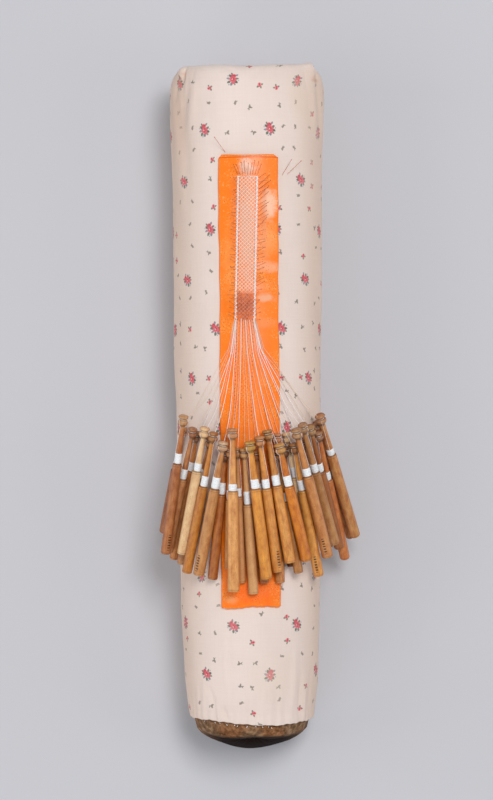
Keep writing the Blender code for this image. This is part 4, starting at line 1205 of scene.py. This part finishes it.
def carry(piece, size, number):
    """Take a piece drawn along Y in mm-true metres to a bobbin's place, and keep its own coordinates."""
    local = points_of(piece)
    own = piece.data.attributes.new("lathe", "FLOAT_VECTOR", "POINT")
    own.data.foreach_set("vector", (1000 * local).ravel())
    from_axis = np.maximum(np.hypot(local[:, 0], local[:, 2]), 1e-6)
    for title, values in (("from_tail", size["length"] - 1000 * local[:, 1]), ("number", np.full(len(local), number)),
                          ("upward", local[:, 2] / from_axis),
                          ("past_winding", 1000 * local[:, 1] - size["shoulder"])):
        piece.data.attributes.new(title, "FLOAT", "POINT").data.foreach_set("value", np.asarray(values, dtype=float))
    placed = size["head"] + local[:, :1] * size["side"] + local[:, 1:2] * size["way"] + local[:, 2:] * size["up"]
    move_points(piece, placed)


def close_ends(piece):
    select_only(piece)
    bpy.ops.object.mode_set(mode="EDIT")
    bpy.ops.mesh.select_mode(type="EDGE")
    bpy.ops.mesh.select_all(action="DESELECT")
    bpy.ops.mesh.select_non_manifold()
    bpy.ops.mesh.edge_face_add()
    bpy.ops.mesh.select_all(action="SELECT")
    bpy.ops.mesh.normals_make_consistent(inside=False)
    bpy.ops.object.mode_set(mode="OBJECT")
    bpy.ops.object.shade_smooth()


# %% Turning the thirty bobbins
bobbins = {}
for number, name in enumerate(BOBBIN_NAMES, start=1):
    size = measured[name]
    rings = [(MM * along, MM * radius, 0.0) for along, radius in turned_profile(size, number)]
    bobbin = draw_out("turned_" + name, rings, 26)
    close_ends(bobbin)
    carry(bobbin, size, number)
    bobbins[name] = bobbin
print("bobbin triangles:", sum(count_triangles(bobbin) for bobbin in bobbins.values()))

# %% [markdown]
# ### Wood
#
# Lace bobbins are turned from whatever close-grained wood is at hand: box, plum, maple, stained beech.  All
# share one make of surface: oiled, and polished by fingers, with streaks along the grain, short dark pores,
# darker bands in the grooves and round the tail, and painted shade on the undersides.  So one function makes
# the finish, and each bobbin brings its own colours in an attribute.  A few carry an owner's tally, burnt in
# near the tail as plain strokes.

# %% The colour of each bobbin: wood, body and head
BOBBIN_WOODS = (
    ("brown", "#B4703E", "#CC9462"), ("orange", "#BC7A48", "#CE9E6C"), ("brown", "#CC8E5A", "#BE8C64"),
    ("orange", "#D48C46", "#9A6A42"), ("pale", "#EAC492", "#E8BE8C"), ("orange", "#C88F5C", "#B88456"),
    ("honey", "#CC8638", "#B8824C"), ("honey", "#D0955A", "#CEA884"), ("orange", "#BE7434", "#8A5A38"),
    ("honey", "#D89A58", "#D89E6C"), ("honey", "#E8A862", "#CC9466"), ("pale", "#D2945A", "#B8804C"),
    ("pale", "#D8A268", "#D4A46A"), ("honey", "#E49A3C", "#C49648"), ("brown", "#C88646", "#A86C38"),
    ("honey", "#DE9848", "#C48652"), ("orange", "#E09C4C", "#B4844A"), ("brown", "#CE8C4C", "#C8885C"),
    ("orange", "#DA8424", "#CE9854"), ("brown", "#8E5220", "#7A5236"), ("honey", "#BC8246", "#A8703A"),
    ("pale", "#FCDCAC", "#F0C894"), ("honey", "#E4A04C", "#A87440"), ("honey", "#D08E50", "#B88C62"),
    ("brown", "#C48A50", "#94664A"), ("honey", "#C28C54", "#B48C64"), ("honey", "#A8662F", "#B48A5A"),
    ("orange", "#DC8A48", "#A87A58"), ("brown", "#DE9858", "#C89870"), ("orange", "#D29456", "#BC865A"),
)
# The bobbins that carry a tally, and how far it lies beside the top line, in mm.
TALLIED = {2: -2.0, 8: 2.6, 16: -2.2, 23: 0.6, 24: 0.8}
for (_, body, head), (number, name) in zip(BOBBIN_WOODS, enumerate(BOBBIN_NAMES, start=1)):
    mesh = bobbins[name].data
    for title, colour in (("body_colour", body), ("head_colour", head)):
        layer = mesh.attributes.new(title, "FLOAT_COLOR", "POINT")
        layer.data.foreach_set("color", np.tile(linear(colour), len(mesh.vertices)))
    for title, value in (("tally", float(number in TALLIED)), ("tally_beside", TALLIED.get(number, 0.0))):
        mesh.attributes.new(title, "FLOAT", "POINT").data.foreach_set("value", np.full(len(mesh.vertices), value))


# %% Oiled and polished wood
def turned_wood(name, streak, gloss, darkening):
    """Streak is the strength of the grain, gloss the roughness, darkening how dark the head's groove and collar are.
    """
    material, tree, shader = new_material(name, Roughness=gloss, Coat_Weight=0.12, Coat_Roughness=0.30)
    own = add_node(tree, "Attribute", attribute_name="lathe")
    number = add_node(tree, "Attribute", attribute_name="number")
    shift = add_node(tree, "Math", {0: number.outputs["Fac"], 1: 37.0}, operation="MULTIPLY")
    shift_way = add_node(tree, "CombineXYZ", {"X": shift.outputs[0], "Y": shift.outputs[0]})
    billet = add_node(tree, "VectorMath", {0: own.outputs["Vector"], 1: shift_way.outputs[0]},
                      operation="ADD")
    body = add_node(tree, "Attribute", attribute_name="body_colour")
    head = add_node(tree, "Attribute", attribute_name="head_colour")
    parts = add_node(tree, "SeparateXYZ", {0: own.outputs["Vector"]})
    at_head = add_node(tree, "MapRange", {"Value": parts.outputs["Y"], "From Min": 7.5, "From Max": 13.0,
                                                    "To Min": 1.0, "To Max": 0.0}, interpolation_type="SMOOTHSTEP")
    whole = add_node(tree, "Mix", {"Factor": at_head.outputs["Result"],
                            "A": body.outputs["Color"], "B": head.outputs["Color"]}, data_type="RGBA")
    # yearly growth, 2 to 3 mm apart, seen as long bands; and fibres about 0.3 mm apart
    bands_way = add_node(tree, "Mapping", {"Vector": billet.outputs[0], "Scale": (0.42, 0.018, 0.42)})
    bands = add_node(tree, "TexNoise", {"Vector": bands_way.outputs[0], "Scale": 1.0, "Detail": 3.0,
                                                  "Distortion": 0.6})
    fibre_way = add_node(tree, "Mapping", {"Vector": billet.outputs[0], "Scale": (3.2, 0.10, 3.2)})
    fibre = add_node(tree, "TexNoise", {"Vector": fibre_way.outputs[0], "Scale": 1.0, "Detail": 3.0})
    pore_way = add_node(tree, "Mapping", {"Vector": billet.outputs[0], "Scale": (1.5, 0.36, 1.5)})
    pores = add_node(tree, "TexVoronoi", {"Vector": pore_way.outputs[0], "Scale": 1.0})
    pore = add_node(tree, "MapRange", {"Value": pores.outputs["Distance"], "From Min": 0.10,
                                                 "From Max": 0.26, "To Min": 0.34, "To Max": 0.0})
    # oil and wax have sunk in unevenly: warm dark clouds from 3 to 12 mm long
    cloud_way = add_node(tree, "Mapping", {"Vector": billet.outputs[0], "Scale": (0.22, 0.10, 0.22)})
    clouds = add_node(tree, "TexNoise", {"Vector": cloud_way.outputs[0], "Scale": 1.0, "Detail": 5.0,
                                                   "Roughness": 0.68})
    # painted shade: the undersides, where the shade between the bobbins falls, are darkened
    upward = add_node(tree, "Attribute", attribute_name="upward")
    under = add_node(tree, "MapRange", {"Value": upward.outputs["Fac"], "From Min": -0.1,
                                                  "From Max": 0.80, "To Min": 0.85, "To Max": 0.0})
    cloudy = add_node(tree, "MapRange", {"Value": clouds.outputs["Fac"], "From Min": 0.40,
                                                   "From Max": 0.68, "To Min": 0.0, "To Max": 4.2 * streak})
    oil_clouds_and_underside_shade = add_node(tree, "Math", {0: under.outputs["Result"], 1: cloudy.outputs["Result"]},
                         operation="MAXIMUM")
    aged_and_underside_shaded = add_node(tree, "Mix", {"Factor": oil_clouds_and_underside_shade.outputs[0],
                           "A": whole.outputs["Result"], "B": linear("#C59467")},
                    data_type="RGBA", blend_type="MULTIPLY")
    light = add_node(tree, "MapRange", {"Value": bands.outputs["Fac"], "From Min": 0.28, "From Max": 0.72,
                                                  "To Min": 1 - 0.9 * streak, "To Max": 1 + 0.55 * streak})
    light_fibre = add_node(tree, "MapRange", {"Value": fibre.outputs["Fac"], "From Min": 0.3,
                                                        "From Max": 0.7, "To Min": 1 - 0.60 * streak,
                                                        "To Max": 1 + 0.40 * streak})
    both = add_node(tree, "Math", {0: light.outputs[0], 1: light_fibre.outputs[0]}, operation="MULTIPLY")
    # darker bands: in the head's groove, under its collar, at and below the end of the winding, and round the tail
    darkness = pore.outputs["Result"]
    tail = add_node(tree, "Attribute", attribute_name="from_tail")
    past_winding = add_node(tree, "Attribute", attribute_name="past_winding")
    for along, middle, half, depth in ((parts.outputs["Y"], 3.5, 0.9, darkening),
                                       (parts.outputs["Y"], 8.8, 1.1, darkening),
                                       (past_winding.outputs["Fac"], 0.0, 0.55, 0.45),
                                       (past_winding.outputs["Fac"], 1.9, 0.28, 0.35),
                                       (tail.outputs["Fac"], 1.7, 0.35, 0.22),
                                       (tail.outputs["Fac"], 0.0, 0.45, 0.42)):
        here = add_node(tree, "Math", {0: along, 1: middle, 2: half}, operation="COMPARE")
        darkness = add_node(tree, "Math", {0: here.outputs[0], 1: depth, 2: darkness},
                        operation="MULTIPLY_ADD").outputs[0]
    # the tally: six short strokes burnt across the grain, uneven as a hot wire leaves them
    tallied = add_node(tree, "Attribute", attribute_name="tally")
    beside = add_node(tree, "Attribute", attribute_name="tally_beside")
    shaky = add_node(tree, "Math", {0: clouds.outputs["Fac"], 1: 1.2, 2: tail.outputs["Fac"]},
                     operation="MULTIPLY_ADD")
    stroke_wave = add_node(tree, "Math", {0: shaky.outputs[0], 1: 1.15}, operation="PINGPONG")
    stroke = add_node(tree, "Math", {0: stroke_wave.outputs[0], 1: 0.55}, operation="LESS_THAN")
    in_row = add_node(tree, "Math", {0: tail.outputs["Fac"], 1: 11.0, 2: 6.9}, operation="COMPARE")
    to_line = add_node(tree, "Math", {0: parts.outputs["X"], 1: beside.outputs["Fac"]}, operation="SUBTRACT")
    shaky_line = add_node(tree, "Math", {0: fibre.outputs["Fac"], 1: 0.3, 2: to_line.outputs[0]},
                          operation="MULTIPLY_ADD")
    on_line = add_node(tree, "Math", {0: shaky_line.outputs[0], 1: 0.15, 2: 1.05}, operation="COMPARE")
    upper = add_node(tree, "Math", {0: parts.outputs["Z"], 1: 0.0}, operation="GREATER_THAN")
    burnt = tallied.outputs["Fac"]
    for test in (stroke, in_row, on_line, upper):
        burnt = add_node(tree, "Math", {0: burnt, 1: test.outputs[0]}, operation="MULTIPLY").outputs[0]
    burnt_dark = add_node(tree, "Math", {0: burnt, 1: 0.90, 2: darkness}, operation="MULTIPLY_ADD")
    kept = add_node(tree, "Math", {0: 1.0, 1: burnt_dark.outputs[0]}, operation="SUBTRACT")
    kept = add_node(tree, "Math", {0: kept.outputs[0], 1: 0.07}, operation="MAXIMUM")
    brightness = add_node(tree, "Math", {0: kept.outputs[0], 1: both.outputs[0]}, operation="MULTIPLY")
    shown = add_node(tree, "VectorMath", {0: aged_and_underside_shaded.outputs["Result"], "Scale": brightness.outputs[0]},
                     operation="SCALE")
    tree.links.new(shown.outputs[0], shader.inputs["Base Color"])
    rub = add_node(tree, "MapRange", {"Value": bands.outputs["Fac"], "From Min": 0.3, "From Max": 0.7,
                                                "To Min": gloss + 0.12, "To Max": gloss - 0.05})
    tree.links.new(rub.outputs["Result"], shader.inputs["Roughness"])
    # the turner's fine rings, about 0.5 mm apart, and the open fibres
    rings = add_node(tree, "Math", {0: parts.outputs["Y"], 1: math.tau / 0.55}, operation="MULTIPLY")
    ridge = add_node(tree, "Math", {0: rings.outputs[0]}, operation="SINE")
    surface = add_node(tree, "Math", {0: ridge.outputs[0], 1: 0.10, 2: fibre.outputs["Fac"]},
                       operation="MULTIPLY_ADD")
    surface_bump = add_node(tree, "Bump", {"Height": surface.outputs[0], "Strength": 0.25,
                                                     "Distance": 0.0002})
    tree.links.new(surface_bump.outputs["Normal"], shader.inputs["Normal"])
    return material


woods = {"honey": turned_wood("boxwood_honey_oiled_turned", 0.17, 0.40, 0.42),
         "pale": turned_wood("maple_pale_bare_turned", 0.11, 0.52, 0.38),
         "orange": turned_wood("beech_orange_stained_turned", 0.20, 0.36, 0.42),
         "brown": turned_wood("plumwood_brown_oiled_turned", 0.22, 0.42, 0.34)}
for (wood, _, _), name in zip(BOBBIN_WOODS, BOBBIN_NAMES):
    finish_piece(bobbins[name], woods[wood], wood + "_wood", name)

# %% [markdown]
# ### Thread on the bobbins
#
# The thread is wound on the neck in close turns, up to the shoulder.  Each turn stands out as a small ridge,
# so the winding is drawn out with a ring for every crest and hollow.

# %% The windings
THREAD_PITCH = 0.5
windings = []
for number, name in enumerate(BOBBIN_NAMES, start=1):
    size = measured[name]
    chance = random.Random(100 + number)
    start, end = size["winding"] - 0.2, size["shoulder"] - 0.25
    radius = 0.70 * size["radius"]
    rings = [(MM * start, MM * 0.55 * size["radius"], 0.0)]
    turns = int((end - start) / THREAD_PITCH)
    for step in range(2 * turns + 1):
        share = step / (2 * turns)
        ridge = 0.10 if step % 2 else -0.02
        barrel = 1 - 0.10 * abs(2 * share - 1) ** 6 + 0.02 * math.sin(9 * share + number)
        rings.append((MM * (start + share * (end - start)), MM * (radius * barrel + ridge), 0.0))
    rings.append((MM * end, MM * 0.55 * size["radius"], 0.0))
    winding = draw_out("winding", rings, 18)
    close_ends(winding)
    carry(winding, size, number)
    windings.append(winding)
select_only(*windings)
bpy.ops.object.join()
winding = bpy.context.object
winding.name = "thread_windings"

# %% Wound thread: white, with grey streaks laid at random as painted shade between the turns
wound_thread, tree, shader = new_material("cotton_thread_white_wound", Roughness=0.75, Sheen_Weight=0.15,
                                          Sheen_Roughness=0.4)
along_bobbin = add_node(tree, "Attribute", attribute_name="lathe")
wound = add_node(tree, "Mapping", {"Vector": along_bobbin.outputs["Vector"], "Rotation": (0, 0, 0.12),
                                             "Scale": (0.5, 1.35, 0.5)})
turns_noise = add_node(tree, "TexNoise", {"Vector": wound.outputs[0], "Scale": 1.0, "Detail": 3.0,
                                                    "Roughness": 0.7})
wound_tone = add_node(tree, "ValToRGB", {"Fac": turns_noise.outputs["Fac"]})
wound_tone.color_ramp.elements[0].position, wound_tone.color_ramp.elements[0].color = 0.34, linear("#D6DBDF")
wound_tone.color_ramp.elements[1].position, wound_tone.color_ramp.elements[1].color = 0.60, linear("#FBFCFC")
tree.links.new(wound_tone.outputs["Color"], shader.inputs["Base Color"])
finish_piece(winding, wound_thread, "thread")
# %% [markdown]
# ## The threads between lace and bobbins
#
# From the working edge each thread runs taut to its own bobbin.  On the roll a taut thread keeps to the
# shortest way, close to the card and the cover, and rises only near the bobbin, to be hitched in the groove of
# its head.  It goes on down the neck to the winding.  The outer threads leave the edge in two close bundles.

# %% One thread, from the working edge to its bobbin's head
def smooth_share(share):
    return share * share * (3 - 2 * share)


def taut_path(start, end, bend, order):
    """Over the card straight to the bend, then the shortest way to the head, all in metres."""
    (edge_x, edge_y), (bend_x, bend_y) = start, bend
    above_axis = end[2] - axis_height(end[1])
    end_lift = math.hypot(end[0], above_axis) - roll_radius(end[1])
    end_turn = math.atan2(end[0], above_axis)
    share, far_share = np.linspace(0, 1, 10, endpoint=False), np.linspace(0, 1, 44)
    near_y = edge_y + share * (bend_y - edge_y)
    near_turn = turn_at(edge_x + share * (bend_x - edge_x), near_y)
    bend_turn = float(turn_at(np.array([bend_x]), np.array([bend_y]))[0])
    y = np.concatenate((near_y, bend_y + far_share * (end[1] - bend_y)))
    turn = np.concatenate((near_turn, bend_turn + far_share * (end_turn - bend_turn)))
    x = roll_radius(y) * np.sin(turn)
    on_card = np.abs(x) < CARD_HALF + 0.5 * MM
    base = np.where(on_card, card_lift(np.clip(x, -CARD_HALF, CARD_HALF), y), 0.0)
    base = np.convolve(np.pad(base, 2, mode="edge"), np.ones(5) / 5, mode="valid")      # no step at the card's edge
    base += MM * (0.5 + 0.15 * (order % 3))
    rise = np.concatenate((0 * share, far_share)) ** 4
    return on_roll(y, turn, base + (end_lift - base) * rise)


# %% The hitch in the head's groove, and the run down the neck
def hitch_round(size, groove_at, groove_radius):
    circle = np.linspace(0, math.tau, 19)[:, None]
    return groove_at + groove_radius * (np.cos(circle) * size["up"] + np.sin(circle) * size["side"])


def run_down(size, number, lean):
    """Down the neck to the winding, just over the wood, and a little aside."""
    down = np.linspace(4.2, size["winding"] + 1.0, 16)
    over = np.interp(down, *np.transpose(turned_profile(size, number))) + 0.22
    over = np.maximum(over, size["radius"] * np.clip((8.8 - down) / 0.8, 0, 1) + 0.1)
    angle = lean * (0.6 + 0.4 * smooth_share((down - down[0]) / (down[-1] - down[0])))
    aside = np.cos(angle)[:, None] * size["up"] + np.sin(angle)[:, None] * size["side"]
    return size["head"] + MM * (down[:, None] * size["way"] + over[:, None] * aside)


# %% Paths of the threads
# The pairs' places at the working edge, in mm across the strip.
PAIR_PLACES = (-8.2, -7.8, -7.4, -6.9, -5.3, -3.0, -1.0, 0.4, 1.6, 3.6, 5.4, 6.9, 7.4, 7.8, 8.2)
STARTS = [place + side for place in PAIR_PLACES for side in (-0.16, 0.16)]
heads = sorted(BOBBIN_NAMES, key=lambda name: measured[name]["head"][0])
paths, hitches = [], []
for order, name in enumerate(heads):
    size = measured[name]
    chance = random.Random(300 + order)
    groove_at = size["head"] + MM * 3.6 * size["way"]
    groove_radius = MM * (0.66 * size["radius"] + 0.06)
    end = groove_at + groove_radius * size["up"]
    edge_x = LACE_FRONT[0] + MM * STARTS[order]
    edge_y = LACE_FRONT[1] + MM * chance.uniform(-0.3, 1.5)
    bend_y = edge_y - MM * chance.uniform(22, 30)
    bend_x = edge_x + 0.42 * (end[0] - edge_x) * (edge_y - bend_y) / (edge_y - end[1])
    lean = chance.choice((-1, 1)) * chance.uniform(0.9, 1.5) if name != "bobbin_30" else 0.1
    paths.append(taut_path((edge_x, edge_y), end, (bend_x, bend_y), order))
    hitches += [hitch_round(size, groove_at, groove_radius), run_down(size, int(name[-2:]), lean)]
lengths = [1000 * np.linalg.norm(np.diff(path, axis=0), axis=1).sum() for path in paths]
print("threads in mm:", round(min(lengths), 1), "to", round(max(lengths), 1))

# %% Bright and dull threads
# The threads that catch the light, counted from the left, are drawn thicker and white; the others are finer and drawn
# in a darker peach.
BRIGHT = (3, 4, 6, 7, 11, 15, 19, 22, 24, 25, 26)
fan = make_threads("thread_fan_taut", [paths[order] for order in BRIGHT], 0.46 * MM)
dull_fan = make_threads("thread_fan_dull", [path for order, path in enumerate(paths) if order not in BRIGHT],
                        0.28 * MM)
hitch = make_threads("thread_hitches", hitches, 0.30 * MM)
finish_piece(fan, white_thread, "thread", "thread_fan")
dull_thread, _, _, _ = cotton_thread("cotton_thread_fine_dull", "#E8C8AE", "#F6E0CE")
finish_piece(dull_fan, dull_thread, "thread")
finish_piece(hitch, white_thread, "thread")

# %% The tacking stitches under the hem
stitches = []
chance = random.Random(41)
for step in range(11):
    stitch_x = MM * (-38.0 + 5.6 * step + chance.uniform(-2.4, 2.4))
    first_turn = math.asin(stitch_x / np.interp(HEM_Y, CORE_Y, CORE_RADIUS))
    hem_here = np.interp(math.degrees(first_turn), *np.transpose(HEM_LINE)) * MM
    below_hem = chance.uniform(0.6, 2.0)
    stitch_y = hem_here - MM * (below_hem + np.array((0.0, 0.5, 1.0)))
    stitch_radius = np.interp(stitch_y, CORE_Y, CORE_RADIUS) + MM * np.array((0.3, 0.6, 0.3))
    stitch_turn = first_turn + np.array((0, 0.012, 0.024)) * chance.uniform(-1, 1)
    stitches.append(np.stack((stitch_radius * np.sin(stitch_turn), stitch_y,
                              core_axis + stitch_radius * np.cos(stitch_turn)), axis=1))
tacking = make_threads("tacking_stitches", stitches, 0.45 * MM, 1)
finish_piece(tacking, white_thread, "thread")
# %% [markdown]
# ## The pins
#
# A pin stands in every hole of the pattern until the lace is firm.  Those in the finished borders lean
# outwards, pulled by the threads, and those at the working edge stand nearly upright, close together.  Lace
# pins are fine brass wire, here 0.34 mm thick and 26 mm long, with a small head.  A few loose ones are kept
# at the upper end, stuck in the cover or in the card.
#
# One pin is drawn out and closed.  It is copied with its own mesh to each hole, turned to its lean.

# %% One pin, with its point at the origin
PIN_LENGTH, PIN_WIRE = 0.026, 0.17 * MM
pin_profile = [(0.0, 0.02 * MM, 0.0), (0.004, 0.8 * PIN_WIRE, 0.0), (0.008, PIN_WIRE, 0.0),
               (PIN_LENGTH - 1.0 * MM, PIN_WIRE, 0.0), (PIN_LENGTH - 0.9 * MM, 0.30 * MM, 0.0),
               (PIN_LENGTH - 0.45 * MM, 0.40 * MM, 0.0), (PIN_LENGTH - 0.08 * MM, 0.34 * MM, 0.0),
               (PIN_LENGTH, 0.15 * MM, 0.0)]
first_pin = draw_out("brass_pin", pin_profile, 8)
close_ends(first_pin)
pin_points = points_of(first_pin).copy()
print("triangles in a pin:", count_triangles(first_pin))

# %% Setting the pins
pins = []


def set_pin(x, y, lean_x, lean_y, exposed=15.0):
    """Set a pin at a place in mm; lean is how far its head stands aside, exposed how much of it shows."""
    x, y = MM * x, MM * y
    turn = float(turn_at(np.array([x]), np.array([y]))[0])
    foot = on_roll(np.array([y]), np.array([turn]), MM)[0]
    normal = np.array((math.sin(turn), 0, math.cos(turn)))
    across = np.array((math.cos(turn), 0, -math.sin(turn)))
    lean_x, lean_y = lean_x / exposed, lean_y / exposed
    upright = math.sqrt(max(1 - lean_x ** 2 - lean_y ** 2, 0.02))
    way = lean_x * across + np.array((0, lean_y, 0)) + upright * normal
    side = np.cross(way, (0.3, 0.2, 0.9))
    side /= np.linalg.norm(side)
    other = np.cross(side, way)
    start = foot - way * (PIN_LENGTH - MM * exposed)
    pin = first_pin.copy()
    pin.data = first_pin.data.copy()
    bpy.context.scene.collection.objects.link(pin)
    move_points(pin, start + pin_points[:, :1] * side + pin_points[:, 1:2] * way + pin_points[:, 2:] * other)
    pins.append(pin)


chance = random.Random(7)


def strip_place(across, down):
    flat = 1000 * LACE_START + down * LACE_WAY + across * LACE_SIDE
    return float(flat[0]), float(flat[1])


for side in (-1, 1):
    for step in range(30):
        down = 1.2 + PITCH * step
        x, y = strip_place(side * 8.6, down)
        if side < 0:
            set_pin(x, y, -chance.uniform(0.4, 3.0), chance.uniform(-1.6, 2.6), chance.uniform(8, 12))
        else:
            long = 2 <= step < 14 and chance.random() < 0.6
            set_pin(x, y, chance.uniform(6.0, 9.5) if long else chance.uniform(2.4, 5.6),
                    chance.uniform(4.0, 9.0) if long else chance.uniform(-1.0, 3.0), chance.uniform(13, 17))
for row in range(6):
    for column in range(6):
        across = (-8.5, -5.2, -1.8, 1.6, 5.0, 8.5)[column] + chance.uniform(-0.8, 0.8)
        if abs(across) > 7:
            across = math.copysign(8.5, across)
        x, y = strip_place(across, LACE_LENGTH - 0.8 - 4.0 * row + chance.uniform(-0.8, 0.8))
        set_pin(x, y, 0.20 * across + chance.uniform(-1.4, 1.4), chance.uniform(-0.8, 3.2), chance.uniform(13, 18))
for step in range(9):
    across = -7.6 + 1.9 * step
    x, y = strip_place(across, -0.6)
    set_pin(x, y, 0.35 * across + chance.uniform(-1.0, 1.0), chance.uniform(7.5, 12.0), chance.uniform(13, 16))
for loose_pin in ((-19.6, 208.8, -5.6, 10.6, 14.5), (28.6, 189.8, 3.8, 11.0, 14.0),
                  (33.2, 190.6, 7.4, 9.6, 14.5), (8.2, 176.0, 9.0, 7.0, 16.0)):
    set_pin(*loose_pin)
print("pins:", len(pins))
bpy.data.objects.remove(first_pin)
select_only(*pins)
bpy.ops.object.join()
pins_set = bpy.context.object
pins_set.name = "brass_pins"

# %% [markdown]
# Brass wire that has been in use for years is dull brown-gold.  Tarnish is uneven, so its colour and
# roughness vary over a few millimetres.

# %% Tarnished brass wire
brass, tree, shader = new_material("brass_wire_tarnished", Metallic=0.25, Roughness=0.42)
pin_place = add_node(tree, "TexCoord")
tarnish = add_node(tree, "TexNoise", {"Vector": pin_place.outputs["Object"], "Scale": 240.0, "Detail": 3.0})
brass_tone = add_node(tree, "Mix", {"Factor": tarnish.outputs["Fac"], "A": linear("#B04A26"), "B": linear("#D8804C")},
                      data_type="RGBA")
brass_rough = add_node(tree, "MapRange", {"Value": tarnish.outputs["Fac"], "To Min": 0.28, "To Max": 0.55})
tree.links.new(brass_tone.outputs["Result"], shader.inputs["Base Color"])
tree.links.new(brass_rough.outputs["Result"], shader.inputs["Roughness"])
pins_set.data.materials.clear()
pins_set.data.materials.append(brass)
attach(pins_set, "root")
print("pin triangles:", count_triangles(pins_set))
